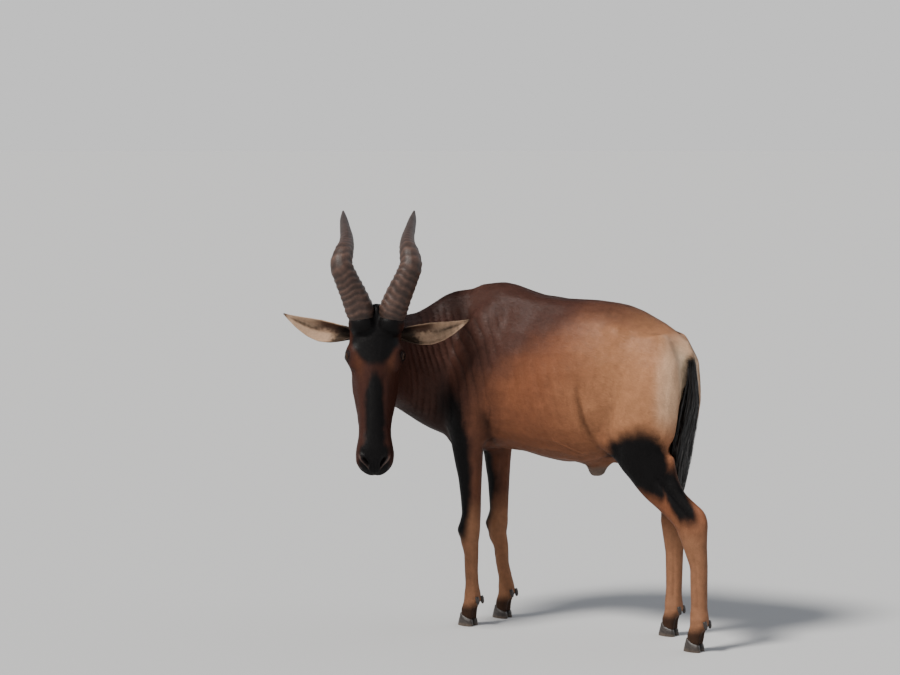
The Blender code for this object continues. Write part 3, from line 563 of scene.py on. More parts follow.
def eye_opening(local, side):
    """Distance from the eye's middle, angle from its look, a measure that is 1 on the rim of its almond
    opening, and the places along and across that opening."""
    offset = local - np.array((EYE_IN_HEAD[0], side * EYE_IN_HEAD[1], EYE_IN_HEAD[2]))
    distance = np.linalg.norm(offset, axis=1) + 1e-9
    look, long, across = lid_frame(side)
    unit = offset / distance[:, None]
    angle = np.arccos(np.clip(unit @ look, -1, 1))
    flat = unit - look * (unit @ look)[:, None]
    flat /= np.linalg.norm(flat, axis=1)[:, None] + 1e-9
    a = angle * (flat @ long)
    b = angle * (flat @ across)
    half_long, half_wide = 0.90, np.where(b > 0, 0.62, 0.50)
    taper = np.clip(1 - (a / half_long) ** 2, 0.02, 1) ** 0.62
    rim = np.maximum(np.abs(b) / (half_wide * taper), np.abs(a) / half_long)
    return distance, angle, rim, a, b


def sculpt_eye(local, side):
    """Lids that wrap the eyeball, open in an almond, with a crease above and a small fold below."""
    distance, angle, rim, _, b = eye_opening(local, side)
    centre = np.array((EYE_IN_HEAD[0], side * EYE_IN_HEAD[1], EYE_IN_HEAD[2]))
    unit = (local - centre) / distance[:, None]
    inner, lip = EYE_RADIUS * 0.90, EYE_RADIUS + 0.0014
    lid = lip + 0.0012 * bump_at(rim, 1.30, 0.18)
    reach = np.maximum(np.abs(b) / 0.62, 0.6 * rim)
    lid += 0.0010 * bump_at(reach, 1.95, 0.22) * (b > 0) - 0.0016 * bump_at(reach, 1.62, 0.13) * (b > 0)
    lid -= 0.0009 * bump_at(reach, 1.75, 0.12) * (b < 0)
    gap = distance - lid
    draped = lid + 0.5 * (gap + np.sqrt(gap ** 2 + 0.0035 ** 2)) - 0.0006
    hold = step(2.5, 1.25, rim) * step(1.35, 1.0, angle)
    outside = draped + (lid - draped) * hold
    target = np.where(rim < 1.0, inner + (lip - inner) * step(0.94, 1.0, rim), outside)
    use = (angle < 1.75) & (distance < 0.038)
    fade = step(0.038, 0.030, distance) * step(1.75, 1.55, angle)
    target = distance + (target - distance) * fade
    return np.where(use[:, None], centre + unit * target[:, None], local)


NOSTRIL_AT = np.array((-0.494, 0.0285, -0.040))
NOSTRIL_LONG = np.array((0.80, 0.52, 0.18))


def nostril_measure(local, side):
    """1 on the rim of the slanted nostril and less inside, the depth, the way out and the place across."""
    mirror = np.array((1, side, 1))
    long = NOSTRIL_LONG * mirror / np.linalg.norm(NOSTRIL_LONG)
    out = np.array((-0.42, side * 0.40, 0.80))
    out -= long * (out @ long)
    out /= np.linalg.norm(out)
    across = np.cross(long, out)
    offset = local - NOSTRIL_AT * mirror
    a, b, c = offset @ long, offset @ across, offset @ out
    b = b + 7.0 * a * a * side
    wide = 0.0062 * (1 + 14 * a)
    return np.sqrt((a / 0.0210) ** 2 + (b / wide) ** 2), c, out, b


def sculpt_muzzle(local):
    """Slanted nostrils with raised rims, a groove between them, and the line of the mouth."""
    for side in (LEFT, RIGHT):
        measure, c, out, _ = nostril_measure(local, side)
        near = step(0.030, 0.022, np.abs(c)) * (local[:, 1] * side > -0.004)
        dip = -0.0150 * step(1.05, 0.40, measure) + 0.0028 * bump_at(measure, 1.42, 0.36)
        local = push(local, out, dip * near)
    u, v, w = local.T
    groove = -0.0022 * bump_at(v, 0.0, 0.0035) * step(-0.490, -0.515, u) * step(-0.105, -0.095, w)
    local = push(local, (-0.8, 0.0, 0.6), groove)
    u, v, w = local.T
    line = -0.086 - 0.016 * step(-0.47, -0.40, u) + 0.005 * step(-0.50, -0.55, u)
    front = step(-0.388, -0.425, u)
    ahead = step(-0.495, -0.535, u)
    outward = np.stack([-ahead, np.sign(v) * (1 - 0.6 * ahead), np.zeros_like(u)], 1)
    groove = -0.0040 * bump_at(w, line, 0.0032) + 0.0016 * bump_at(w, line + 0.0075, 0.0045)
    groove += 0.0012 * bump_at(w, line - 0.0080, 0.0050)
    return local + outward * (groove * front)[:, None]


def sculpt_face(local):
    """Broad forms of the face: orbit, hollows, tear gland, cheek crest and the veins below the eye."""
    u, v, w = local.T
    across = np.abs(v)
    outward = np.stack([np.zeros_like(u), np.sign(v), np.zeros_like(u)], 1)
    on_side = step(0.030, 0.050, across)
    orbit = 0.0085 * bump_at(u, -0.106, 0.046) * bump_at(w, -0.048, 0.030) * step(0.055, 0.080, across)
    hollow = -0.0020 * bump_at(u, -0.045, 0.020) * bump_at(w, -0.056, 0.018) * step(0.05, 0.065, across)
    gland = -0.0034 * bump_at(u + 0.4 * (w + 0.055), -0.172, 0.012) * bump_at(w, -0.055, 0.0045)
    gland += 0.0026 * bump_at(u, -0.172, 0.018) * bump_at(w, -0.066, 0.006)
    ridge = -0.088 + 0.10 * (u + 0.25)
    crest = 0.0036 * bump_at(w, ridge, 0.009) * between(-0.33, -0.18, u, 0.03)
    under = -0.0040 * bump_at(w, ridge - 0.021, 0.012) * between(-0.34, -0.19, u, 0.03)
    path = -0.070 + 0.008 * np.sin(u * 60) - 0.12 * (u + 0.30)
    vein = 0.0014 * bump_at(w, path, 0.0030) * between(-0.40, -0.24, u, 0.02)
    lift = orbit + hollow + gland + crest + under + vein
    local = local + outward * (lift * on_side)[:, None]
    # A shallow channel down each side of the nose bone, and the brow over each eye.
    channel = -0.0030 * bump_at(across, 0.031, 0.008) * between(-0.42, -0.20, u, 0.03)
    channel *= step(-0.05, -0.03, w)
    brow = 0.0040 * bump_at(u, -0.100, 0.026) * bump_at(across, 0.074, 0.016) * step(-0.06, -0.03, w)
    return push(local, (0, 0, 1), channel + brow)


def flank_line(x, z):
    """How far a point is behind the fold of the flank, seen from the side."""
    line = (0.105, 0.066, 0.030, 0.008, -0.010, -0.006)
    return x - np.interp(z, (0.60, 0.66, 0.72, 0.78, 0.88, 1.00), line)


def elbow_line(x, z):
    """How far a point is behind the back edge of the shoulder and upper arm."""
    return x - np.interp(z, (0.62, 0.73, 0.84, 0.94, 1.05), (-0.416, -0.403, -0.408, -0.396, -0.352))


def body_folds(points, normals):
    """Skin folds inside and outside the bend of the neck, and how deep each point lies in a neck fold or in
    the crease of the flank or elbow, the depth by which the coat's colour is darkened as painted shade.
    """
    x, y, z = in_body(points).T
    body = step(-0.315, -0.275, y)
    along = 0.62 * x + 0.78 * y + 0.10 * z
    along += 0.014 * clouds(points, 0.16, 11)
    along += 0.0055 * clouds(points, 0.07, 12)
    fold = np.sqrt(np.abs(np.sin(along * (math.pi / 0.0235))) + 0.01)
    where = between(-0.66, -0.365, x, 0.045) * step(0.70, 0.80, z) * step(1.19, 1.10, z)
    where *= step(-0.04, -0.09, y)
    where *= step(0.25, 0.60, -normals[:, 1] + 0.4 * normals[:, 0])
    where *= np.clip(0.62 + 0.75 * clouds(points, 0.10, 13), 0.05, 1)
    outside = between(-0.62, -0.46, x, 0.05) * step(0.75, 0.85, z) * step(1.15, 1.05, z)
    outside *= step(0.02, 0.08, y + 0.3 * x + 0.2) * step(0.2, 0.6, normals[:, 1])
    where = np.maximum(where, 0.3 * outside) * body
    flank = flank_line(x, z)
    elbow = elbow_line(x, z)
    crease_shade = 0.9 * np.exp(-(flank / 0.012) ** 2) * between(0.70, 0.90, z, 0.09)
    crease_shade += np.exp(-(elbow / 0.013) ** 2) * between(0.670, 0.80, z, 0.04) * step(1.02, 0.80, z)
    # Painted shade: this depth in the folds and creases darkens the coat's colour.
    depth = where * np.clip(1 - fold, 0, 1) ** 1.5 + 0.72 * crease_shade * step(0.03, 0.08, np.abs(y))
    return where * (fold - 0.75), depth


def sculpt_body(points, normals):
    """Shoulder, ribs, flank, haunch, tendons and veins, by small shifts along the normals."""
    x, y, z = in_body(points).T
    side_on = step(0.03, 0.08, np.abs(y))
    lift = 0.0036 * body_folds(points, normals)[0]
    # Shoulder blade, the hollow behind it, and the crease at the elbow.
    spine = -0.355 + 0.30 * (z - 0.80)
    lift -= 0.0050 * bump_at(x, spine + 0.030, 0.040) * between(0.74, 1.08, z, 0.09) * side_on
    lift += 0.0040 * bump_at(x, spine - 0.050, 0.040) * between(0.80, 1.12, z, 0.08) * side_on
    crease = elbow_line(x, z)
    lift -= 0.0062 * np.exp(-(crease / 0.016) ** 2) * between(0.660, 0.86, z, 0.08) * side_on
    lift += 0.0018 * np.exp(-((crease + 0.045) / 0.030) ** 2) * between(0.66, 0.80, z, 0.06) * side_on
    # The hump of the withers is rounded, not a ridge.
    slope = bump_at(np.abs(y), 0.052, 0.030) * bump_at(z, 1.180, 0.050) * between(-0.46, -0.12, x, 0.08)
    lift += 0.0110 * slope - 0.0040 * bump_at(y, 0.0, 0.018) * step(1.20, 1.235, z)
    # Ribs, the flank fold and the front edge of the thigh.
    ribs = np.sin((x + 0.28 * z + 0.012 * clouds(points, 0.15, 15)) * (2 * math.pi / 0.050))
    lift += 0.0008 * ribs * between(-0.27, 0.00, x, 0.06) * between(0.76, 0.98, z, 0.08) * side_on
    fold = flank_line(x, z)
    lift -= 0.0048 * np.exp(-(fold / 0.018) ** 2) * between(0.70, 0.90, z, 0.10) * side_on
    lift += 0.0030 * np.exp(-((fold - 0.050) / 0.036) ** 2) * between(0.70, 0.95, z, 0.10) * side_on
    lift -= 0.0016 * np.exp(-((fold + 0.060) / 0.036) ** 2) * between(0.74, 0.88, z, 0.06) * side_on
    # Hip and pin bones, muscles of the haunch and the groove down the back of the thigh.
    lift += 0.0050 * np.exp(-((x - 0.112) ** 2 + (z - 1.085) ** 2) / 0.040 ** 2) * side_on
    lift += 0.0040 * np.exp(-((x - 0.325) ** 2 + (z - 0.985) ** 2) / 0.034 ** 2) * side_on
    ham = x - np.interp(z, (0.58, 0.75, 0.95), (0.292, 0.280, 0.262))
    lift -= 0.0024 * np.exp(-(ham / 0.028) ** 2) * between(0.62, 0.93, z, 0.08) * side_on
    stifle = x - np.interp(z, (0.56, 0.64, 0.74), (0.190, 0.150, 0.120))
    lift -= 0.0026 * np.exp(-(stifle / 0.020) ** 2) * between(0.57, 0.73, z, 0.04) * side_on
    # The groin rises behind the sheath.
    under = step(0.665, 0.615, z) * step(0.095, 0.055, np.abs(y)) * step(-0.1, -0.6, normals[:, 2])
    lift -= 0.020 * bump_at(x, 0.052, 0.030) * under + 0.007 * bump_at(x, -0.085, 0.030) * under
    # The sheath is a blunt round knob.
    knob = np.exp(-((x + 0.020) / 0.036) ** 2 - (y / 0.032) ** 2) * step(0.626, 0.606, z)
    lift += knob * (0.0070 + 0.0050 * step(0.98, 0.75, -normals[:, 2]))
    lift += tendons(x, y, z, normals)
    lift -= 0.0030 * step(0.075, 0.045, z) * step(-0.9, -0.5, normals[:, 2])
    for name in nodes_named("dewclaw_"):
        lift += 0.0045 * np.exp(-(distances(points, node_middle(name)) / 0.013) ** 2)
    # A vein along the belly and faint unevenness everywhere.
    vein = z - (0.665 + 0.010 * np.sin(x * 30))
    lift += 0.0012 * np.exp(-(vein / 0.0065) ** 2) * between(-0.25, 0.02, x, 0.05) * side_on
    lift += 0.0014 * clouds(points, 0.060, 14) * step(0.5, 0.7, z) * step(-0.315, -0.275, y)
    sink = np.stack([0 * z, 0 * z, -0.0060 * step(0.062, 0.046, z)], 1)
    return points + normals * lift[:, None] + sink


def tendons(x, y, z, normals):
    """Grooves down the cannons before the tendons, and the bony knots of knee, hock and fetlock."""
    lift = np.zeros(len(x))
    for side in (LEFT, RIGHT):
        for hind in (False, True):
            behind = leg_middle(x, z, hind, side == RIGHT)
            on_leg = (y * side > 0.02) & (np.abs(behind) < 0.09) & ((x > 0.0) == hind)
            lateral = step(0.40, 0.80, np.abs(normals[:, 1])) * on_leg
            front = step(-0.2, -0.7, normals[:, 0]) * on_leg
            top = 0.345 if hind else 0.270
            lift -= 0.0030 * bump_at(behind, 0.0090, 0.0050) * between(0.14, top, z, 0.025) * lateral
            lift += 0.0018 * bump_at(z, 0.096, 0.012) * on_leg * step(0.0, 0.01, behind)
            lift += 0.0014 * bump_at(z, 0.118, 0.010) * lateral
            if hind:
                lift += 0.0028 * bump_at(z, 0.430, 0.022) * bump_at(behind, -0.006, 0.016) * lateral
                lift += 0.0024 * bump_at(z, 0.385, 0.016) * bump_at(behind, 0.004, 0.014) * lateral
                hollow = bump_at(behind, 0.034 - 0.25 * (z - 0.50), 0.010) * between(0.46, 0.60, z, 0.025)
                lift -= 0.0060 * hollow * lateral
                lift += 0.0026 * bump_at(z, 0.410, 0.020) * front
            else:
                lift += 0.0030 * bump_at(z, 0.352, 0.018) * front
                lift -= 0.0020 * bump_at(z, 0.318, 0.008) * front
                lift += 0.0026 * bump_at(z, 0.345, 0.018) * bump_at(behind, -0.004, 0.014) * lateral
                lift -= 0.0020 * bump_at(z, 0.375, 0.008) * bump_at(behind, 0.014, 0.010) * lateral
                strap = bump_at(behind, 0.012 + 0.10 * (z - 0.45), 0.009) * between(0.40, 0.60, z, 0.04)
                lift -= 0.0035 * strap * lateral
    return lift


# Ear: share of the length, width from edge to edge, and half the angle that the sheet is rolled through.
EAR_LENGTH, EAR_WALL = 0.259, 0.0026
EAR_ROOT = (-0.036, 0.080, -0.076)
EAR_RISE = {LEFT: math.radians(6.0), RIGHT: math.radians(11.0)}
EAR_BACK, EAR_ROLL = math.radians(-6.0), math.radians(-16.0)
EAR_SHAPE = (
    (0.00, 0.044, 152.0), (0.07, 0.049, 134.0), (0.16, 0.059, 104.0),
    (0.30, 0.073, 77.0), (0.46, 0.079, 62.0), (0.62, 0.068, 52.0),
    (0.78, 0.046, 44.0), (0.90, 0.024, 34.0), (1.00, 0.005, 20.0),
)


def ear_sheet(along, around):
    """A point of the ear's sheet in its own axes: a leaf rolled into a funnel at the root, open later on."""
    shares, widths, rolls = np.array(EAR_SHAPE).T
    width, half_roll = np.interp(along, shares, widths), np.radians(np.interp(along, shares, rolls))
    radius = width / (2 * math.sin(min(half_roll, math.pi / 2)))
    angle = 2 * half_roll * around
    curl = -0.010 * math.sin(math.pi * along) + 0.030 * along ** 3
    return Vector((
        radius * math.sin(angle) + curl, along * EAR_LENGTH, radius * (math.cos(half_roll) - math.cos(angle)),
    ))


def ear_place(side):
    set_ear = (
        Matrix.Translation(EAR_ROOT) @ Matrix.Rotation(-EAR_RISE[side], 4, "Z")
        @ Matrix.Rotation(EAR_BACK, 4, "X") @ Matrix.Rotation(EAR_ROLL, 4, "Y")
    )
    return HEAD_PLACE @ Matrix.Diagonal((1.0, side, 1.0, 1.0)) @ set_ear


def build_ears():
    """Both ears as closed cupped leaves that run into the head."""
    joined = bmesh.new()
    for side in (LEFT, RIGHT):
        bm = bmesh.new()
        bmesh.ops.create_grid(bm, x_segments=26, y_segments=60, size=0.5)
        for vert in bm.verts:
            along, around = vert.co.y + 0.5, vert.co.x
            vert.co = ear_sheet(along, around)
            vert.co.z += 0.0013 * math.sin(around * 22.0) * math.sin(math.pi * min(along * 1.1, 1))
        bmesh.ops.recalc_face_normals(bm, faces=bm.faces)
        bmesh.ops.solidify(bm, geom=bm.faces, thickness=EAR_WALL)
        bmesh.ops.transform(bm, matrix=ear_place(side), verts=bm.verts)
        bmesh.ops.recalc_face_normals(bm, faces=bm.faces)
        rim = [edge for edge in bm.edges if len(edge.link_faces) == 2 and edge.calc_face_angle() > 1.2]
        bmesh.ops.bevel(
            bm, geom=rim, offset=0.0008, segments=2, profile=0.5, affect="EDGES", material=-1)
        pour(bm, joined)
    return object_from("ears", joined)


def sculpt_skin(skin):
    """Smooths away the facets of the CAD, sinks the surface by the coat's depth, then models its forms."""
    mesh = skin.data
    points, edges = read_points(mesh), read_edges(mesh)
    points = relaxed(points, edges, 30)
    write_points(mesh, points)
    write_points(mesh, points - read_normals(mesh) * coat_depth(points)[:, None])

    def refine(test, rounds):
        subdivide_where(mesh, test(read_points(mesh)))
        now = read_points(mesh)
        write_points(mesh, relaxed(now, read_edges(mesh), rounds, weight=test(now).astype(float)))

    def head_or_folds(points):
        x, y, z = in_body(points).T
        return (y < -0.285) | ((x > -0.68) & (x < -0.34) & (y < -0.03) & (z > 0.72) & (z < 1.20))

    def fine_face(points):
        local = in_head(points)
        nose = (local[:, 0] < -0.452) & (local[:, 2] > -0.120)
        mouth = (local[:, 0] < -0.40) & (np.abs(local[:, 2] + 0.094) < 0.016)
        return nose | mouth | near_eye(points, 0.040)

    def near_eye(points, reach):
        return np.min([distances(points, EYES[side]) for side in (LEFT, RIGHT)], axis=0) < reach

    refine(head_or_folds, 6)
    points = read_points(mesh)
    write_points(mesh, sculpt_body(points, read_normals(mesh)))
    points = read_points(mesh)
    local = in_head(points)
    face = step(-0.285, -0.33, in_body(points)[:, 1])[:, None]
    write_points(mesh, points + face * ((sculpt_face(local) - local) @ HEAD_TURN.T))
    refine(fine_face, 3)
    refine(lambda points: near_eye(points, 0.0285), 2)
    local = sculpt_muzzle(in_head(read_points(mesh)))
    for side in (LEFT, RIGHT):
        local = sculpt_eye(local, side)
    write_points(mesh, local @ HEAD_TURN.T + HEAD_ORIGIN)


def thin_out(obj, most):
    """Joins the flattest small faces until the piece has about that many triangles."""
    count = sum(len(face.vertices) - 2 for face in obj.data.polygons)
    thin = obj.modifiers.new("thin_out", "DECIMATE")
    thin.ratio = most / count
    apply_modifiers(obj)


def bareness(points):
    """1 where no coat grows: inside the lids and the nostrils, and on the feet just above the ground."""
    local = in_head(points)
    bare = np.zeros(len(points))
    for side in (LEFT, RIGHT):
        distance, angle, rim, *_ = eye_opening(local, side)
        bare = np.maximum(bare, step(1.14, 1.06, rim) * (distance < 0.030) * (angle < 1.4))
        measure, c, *_ = nostril_measure(local, side)
        bare = np.maximum(bare, step(1.25, 1.05, measure) * (np.abs(c) < 0.03) * (local[:, 1] * side > 0))
    return np.maximum(bare, step(0.036, 0.026, in_body(points)[:, 2]))


def build_skin():
    skin = flesh_cage()
    remesh = skin.modifiers.new("weld", "REMESH")
    remesh.mode, remesh.voxel_size, remesh.adaptivity = "VOXEL", VOXEL, 0.0
    apply_modifiers(skin)
    sculpt_skin(skin)
    thin_out(skin, SKIN_TRIANGLES)
    ears = build_ears()
    union = skin.modifiers.new("ears", "BOOLEAN")
    union.operation, union.object, union.solver = "UNION", ears, "EXACT"
    apply_modifiers(skin)
    bpy.data.objects.remove(ears)
    bm = bmesh.new()
    bm.from_mesh(skin.data)
    bmesh.ops.dissolve_degenerate(bm, dist=1e-6, edges=bm.edges)
    bmesh.ops.triangulate(bm, faces=[face for face in bm.faces if len(face.verts) > 4])
    bm.to_mesh(skin.data)
    bm.free()
    return skin


def colour_skin(skin, tones):
    points, normals = read_points(skin.data), read_normals(skin.data)
    colours = markings(points, normals, tones)
    bare = bareness(points)
    colours = mixed(colours, tones["bare"], bare * step(0.06, 0.10, in_body(points)[:, 2]))
    set_colours(skin.data, "marking", colours)


def unwrap(obj):
    """An unwrap of the skin's own shape, in which each tuft finds its place."""
    bpy.ops.object.select_all(action="DESELECT")
    bpy.context.view_layer.objects.active = obj
    obj.select_set(True)
    bpy.ops.object.mode_set(mode="EDIT")
    bpy.ops.mesh.select_all(action="SELECT")
    bpy.ops.uv.smart_project(angle_limit=math.radians(66), island_margin=0.002)
    bpy.ops.object.mode_set(mode="OBJECT")
    obj.select_set(False)


# ---------------------------------------------------------------- coat

def triangles(mesh):
    """Corner points, corner normals, corner places on the unwrap, and area of every triangle of the mesh."""
    mesh.calc_loop_triangles()
    count = len(mesh.loop_triangles)
    verts, loops = np.empty(count * 3, np.int32), np.empty(count * 3, np.int32)
    mesh.loop_triangles.foreach_get("vertices", verts)
    mesh.loop_triangles.foreach_get("loops", loops)
    verts, loops = verts.reshape(-1, 3), loops.reshape(-1, 3)
    uv = np.empty(len(mesh.loops) * 2, np.float32)
    mesh.uv_layers.active.data.foreach_get("uv", uv)
    points, normals = read_points(mesh), read_normals(mesh)
    corners = points[verts]
    area = np.linalg.norm(np.cross(corners[:, 1] - corners[:, 0], corners[:, 2] - corners[:, 0]), axis=1) / 2
    return corners, normals[verts], uv.reshape(-1, 2)[loops], area


def scattered(skin_triangles, count, chance, rng):
    """Roots spread over the triangles by area and chance: their points, normals and places on the unwrap."""
    corners, normals, uv, area = skin_triangles
    share = area * chance
    pick = np.searchsorted(np.cumsum(share), rng.random(count) * share.sum()).clip(0, len(area) - 1)
    a, b = rng.random(count), rng.random(count)
    flip = a + b > 1
    a[flip], b[flip] = 1 - a[flip], 1 - b[flip]
    weights = np.stack([1 - a - b, a, b], axis=1)[:, :, None]
    normal = (normals[pick] * weights).sum(1)
    normal /= np.linalg.norm(normal, axis=1)[:, None] + 1e-9
    return (corners[pick] * weights).sum(1), normal, (uv[pick] * weights).sum(1)


def coat_lie(points, normals):
    """Which way the hair lies at each point, along the skin."""
    x, y, z = in_body(points).T
    u, v, _ = in_head(points).T
    way = np.tile(np.array((1.0, 0.0, -0.34)), (len(points), 1))
    leg = step(0.74, 0.60, z)[:, None]
    way = way + (np.array((0.16, 0.0, -1.0)) - way) * leg
    neck = (step(-0.44, -0.58, x - 0.3 * y) * step(0.60, 0.70, z))[:, None]
    way = way + (np.array((0.50, 0.72, -0.40)) - way) * neck
    head = step(-0.27, -0.35, y)[:, None]
    aside = step(0.03, 0.07, np.abs(v))
    up_face = np.stack([np.ones(len(u)), 0.25 * np.sign(v) * step(0.0, 0.05, np.abs(v)), -0.55 * aside], 1)
    outward = np.stack([0.1 * np.ones(len(u)), np.sign(v), np.zeros(len(u))], 1)
    up_face = np.where(on_ears(points)[:, None], outward, up_face)
    way = way + (up_face @ HEAD_TURN.T - way) * head
    way += 0.10 * np.stack([clouds(points, 0.06, seed) for seed in (41, 42, 43)], axis=1)
    way -= normals * (way * normals).sum(1)[:, None]
    return way / (np.linalg.norm(way, axis=1)[:, None] + 1e-9)


def tuft_sizes(points):
    """Length and width of a tuft: smallest on face, ears and feet."""
    _, y, z = in_body(points).T
    length = np.interp(z, (0.04, 0.12, 0.40, 0.60, 0.80), (0.0060, 0.0075, 0.010, 0.013, 0.015))
    width = np.interp(z, (0.04, 0.40, 0.60, 0.80), (0.0010, 0.0012, 0.0014, 0.0015))
    head = step(-0.24, -0.34, y)
    length = length + (0.0065 - length) * head
    width = width + (0.0010 - width) * head
    ear = on_ears(points)
    return np.where(ear, 0.0050, length), np.where(ear, 0.0008, width)


def blades(roots, tips, normals, widths):
    """Corner points of thin one-sided blades, two at the root and one at the tip."""
    side = np.cross(normals, tips - roots)
    side /= np.linalg.norm(side, axis=1)[:, None] + 1e-12
    low = roots - 0.00005 * normals
    half = side * (widths * 0.5)[:, None]
    return np.stack([low + half, low - half, tips], axis=1)


def draped(tree, points, heights):
    """The given points brought down until they stand at those heights over the skin."""
    out = np.empty_like(points)
    for i, point in enumerate(points.tolist()):
        spot, normal, *_ = tree.find_nearest(point)
        out[i] = spot + normal * heights[i]
    return out


def blade_mesh(name, corners, colours, places, normals=None):
    """One mesh of many blades, two corners to a row and one at the tip, with colours and bake places."""
    count, per = corners.shape[:2]
    rows = (per - 1) // 2
    quads = [(2 * i, 2 * i + 1, 2 * i + 3, 2 * i + 2) for i in range(rows - 1)]
    tip = (2 * rows - 2, 2 * rows - 1, 2 * rows)
    one = np.array([c for quad in quads for c in quad] + list(tip))
    starts = np.array([4 * i for i in range(rows)])
    mesh = bpy.data.meshes.new(name)
    mesh.vertices.add(count * per)
    mesh.vertices.foreach_set("co", corners.astype(np.float32).ravel())
    mesh.loops.add(count * len(one))
    loops = (np.arange(count) * per)[:, None] + one
    mesh.loops.foreach_set("vertex_index", loops.astype(np.int32).ravel())
    mesh.polygons.add(count * rows)
    starts = (np.arange(count) * len(one))[:, None] + starts
    mesh.polygons.foreach_set("loop_start", starts.astype(np.int32).ravel())
    mesh.update(calc_edges=True)
    mesh.validate()
    set_colours(mesh, "marking", colours.reshape(-1, 3))
    offsets = np.zeros((per, 2))
    for i in range(per - 1):
        offsets[i] = ((i % 2) * 0.003 - 0.0015, (i // 2) / rows * 0.003 - 0.0015)
    offsets[-1] = (0.0, 0.0015)
    uv = np.clip(places[:, None, :] + offsets[None], 0.0, 1.0)[:, one]
    layer = mesh.uv_layers.new(name="OFBake")
    layer.data.foreach_set("uv", uv.astype(np.float32).ravel())
    if normals is not None:
        mesh.shade_smooth()
        mesh.normals_split_custom_set_from_vertices(np.repeat(normals, per, axis=0).astype(np.float32))
    return mesh


def tuft_colours(base, per, rng, spread=0.07, root_dark=0.86, tip_light=1.06):
    """Each tuft's own shade, darker at its root and lighter towards its tip."""
    shade = 1 + rng.normal(0, spread, len(base))[:, None, None].clip(-0.25, 0.25)
    rows = np.array([i // 2 for i in range(per - 1)] + [(per - 1) // 2]) / ((per - 1) // 2)
    along = (root_dark + (tip_light - root_dark) * rows)[None, :, None]
    return np.clip(base[:, None, :] * shade * along, 0.001, 1)


def coat_regions(middles):
    """Which triangles each piece of the coat grows from."""
    x, y, z = in_body(middles).T
    head = y < -0.275
    neck = ~head & ((x < -0.44) & (z > 0.66))
    legs = ~head & ~neck & (z < 0.60)
    trunk = ~head & ~neck & ~legs
    left = y < 0
    return {
        "coat_head": head,
        "coat_neck": neck,
        "coat_forelegs": legs & (x < 0),
        "coat_hindlegs": legs & (x >= 0),
        "coat_left_front": trunk & left & (x < -0.12),
        "coat_left_back": trunk & left & (x >= -0.12),
        "coat_right_front": trunk & ~left & (x < -0.12),
        "coat_right_back": trunk & ~left & (x >= -0.12),
    }


# ---------------------------------------------------------------- settings and operators

def colour_setting(name, description, default):
    return bpy.props.FloatVectorProperty(
        name=name, description=description, default=default, subtype="COLOR", size=3, min=0.0, max=1.0)


class HartebeestCoat(bpy.types.PropertyGroup):
    """Colours and thickness of the coat."""
    brown: colour_setting("Brown", "Flanks", (0.190, 0.070, 0.034))
    # Partly painted shade: this tone is darker than the coat's own colour on shoulders, withers and back.
    saddle_and_shade: colour_setting("Saddle", "Shoulders, withers and back", (0.052, 0.022, 0.017))
    # Partly painted shade: this tone is darker than the neck's own colour.
    neck: colour_setting("Neck", "Neck and throat", (0.046, 0.019, 0.014))
    # Partly painted shade: this tone is darker than the face's own colour.
    cheek: colour_setting("Cheek", "Sides of the face", (0.040, 0.0140, 0.0095))
    rump: colour_setting("Rump", "Croup and buttocks", (0.370, 0.172, 0.084))
    pale: colour_setting("Pale patch", "Beside the root of the tail", (0.680, 0.500, 0.340))
    belly: colour_setting("Belly", "Underside", (0.190, 0.085, 0.047))
    tan: colour_setting("Tan", "Lower legs", (0.255, 0.118, 0.062))
    black: colour_setting("Black", "Face, shoulders, thighs and tail", (0.0036, 0.0030, 0.0032))
    bare: colour_setting("Bare skin", "Lids and nostrils", (0.009, 0.007, 0.007))
    ear: colour_setting("Ear", "Back of the ear", (0.170, 0.070, 0.038))
    ear_inside: colour_setting("Inside of the ear", "Short hair inside the ear", (0.470, 0.310, 0.205))
    tufts: bpy.props.IntProperty(
        name="Tufts", description="Tufts in one piece of the coat", default=172000, min=1000, max=190000)
    ruffle: bpy.props.FloatProperty(
        name="Ruffle", description="How unevenly the tufts catch the light", default=0.10, min=0, max=0.5)
    seed: bpy.props.IntProperty(name="Seed", description="Start of the random spread", default=7, min=0)


class HartebeestHorns(bpy.types.PropertyGroup):
    """Rings and colours of the horns."""
    rings: bpy.props.IntProperty(name="Rings", description="Rings up to the bend", default=15, min=1, max=40)
    ring_height: bpy.props.FloatProperty(
        name="Ring height", description="How far a ring stands out", default=0.0036, min=0, max=0.01,
        unit="LENGTH")
    base: colour_setting("Base", "Colour near the head", (0.078, 0.043, 0.032))
    tip: colour_setting("Tip", "Colour of the points", (0.040, 0.029, 0.026))


class HartebeestStage(bpy.types.PropertyGroup):
    """Floor, light and camera."""
    floor: bpy.props.FloatProperty(
        name="Floor", description="Share of light that the floor gives back", default=0.482, min=0, max=1,
        subtype="FACTOR")
    backdrop: bpy.props.FloatProperty(
        name="Backdrop", description="Brightness round about at the floor's level", default=0.83, min=0)
    key: bpy.props.FloatProperty(
        name="Key light", description="Strength of the broad key light", default=5.4, min=0)
    fill: bpy.props.FloatProperty(
        name="Fill light", description="Strength of the weak light behind", default=0.9, min=0)
    lens: bpy.props.FloatProperty(
        name="Lens", description="Focal length", default=101.36, min=1, unit="CAMERA")


TONES = (
    "brown", "saddle_and_shade", "neck", "cheek", "rump", "pale", "belly", "tan", "black", "bare", "ear", "ear_inside")


def tones():
    settings = bpy.context.scene.hartebeest_coat
    return {name: tuple(getattr(settings, name)) for name in TONES}


def the_skin():
    skin = bpy.data.objects.get("skin")
    if skin is None:
        raise RuntimeError("build the skin first")
    return skin


class HARTEBEEST_OT_skin(bpy.types.Operator):
    """Build the skin over every part of the body, with its lids, nostrils, folds and markings"""
    bl_idname = "hartebeest.skin"
    bl_label = "Skin"

    def execute(self, context):
        skin = build_skin()
        colour_skin(skin, tones())
        unwrap(skin)
        replaced = nodes_named(*FLESH, "ear_")
        finish_piece(skin, skin_material(), replaced)
        return {"FINISHED"}


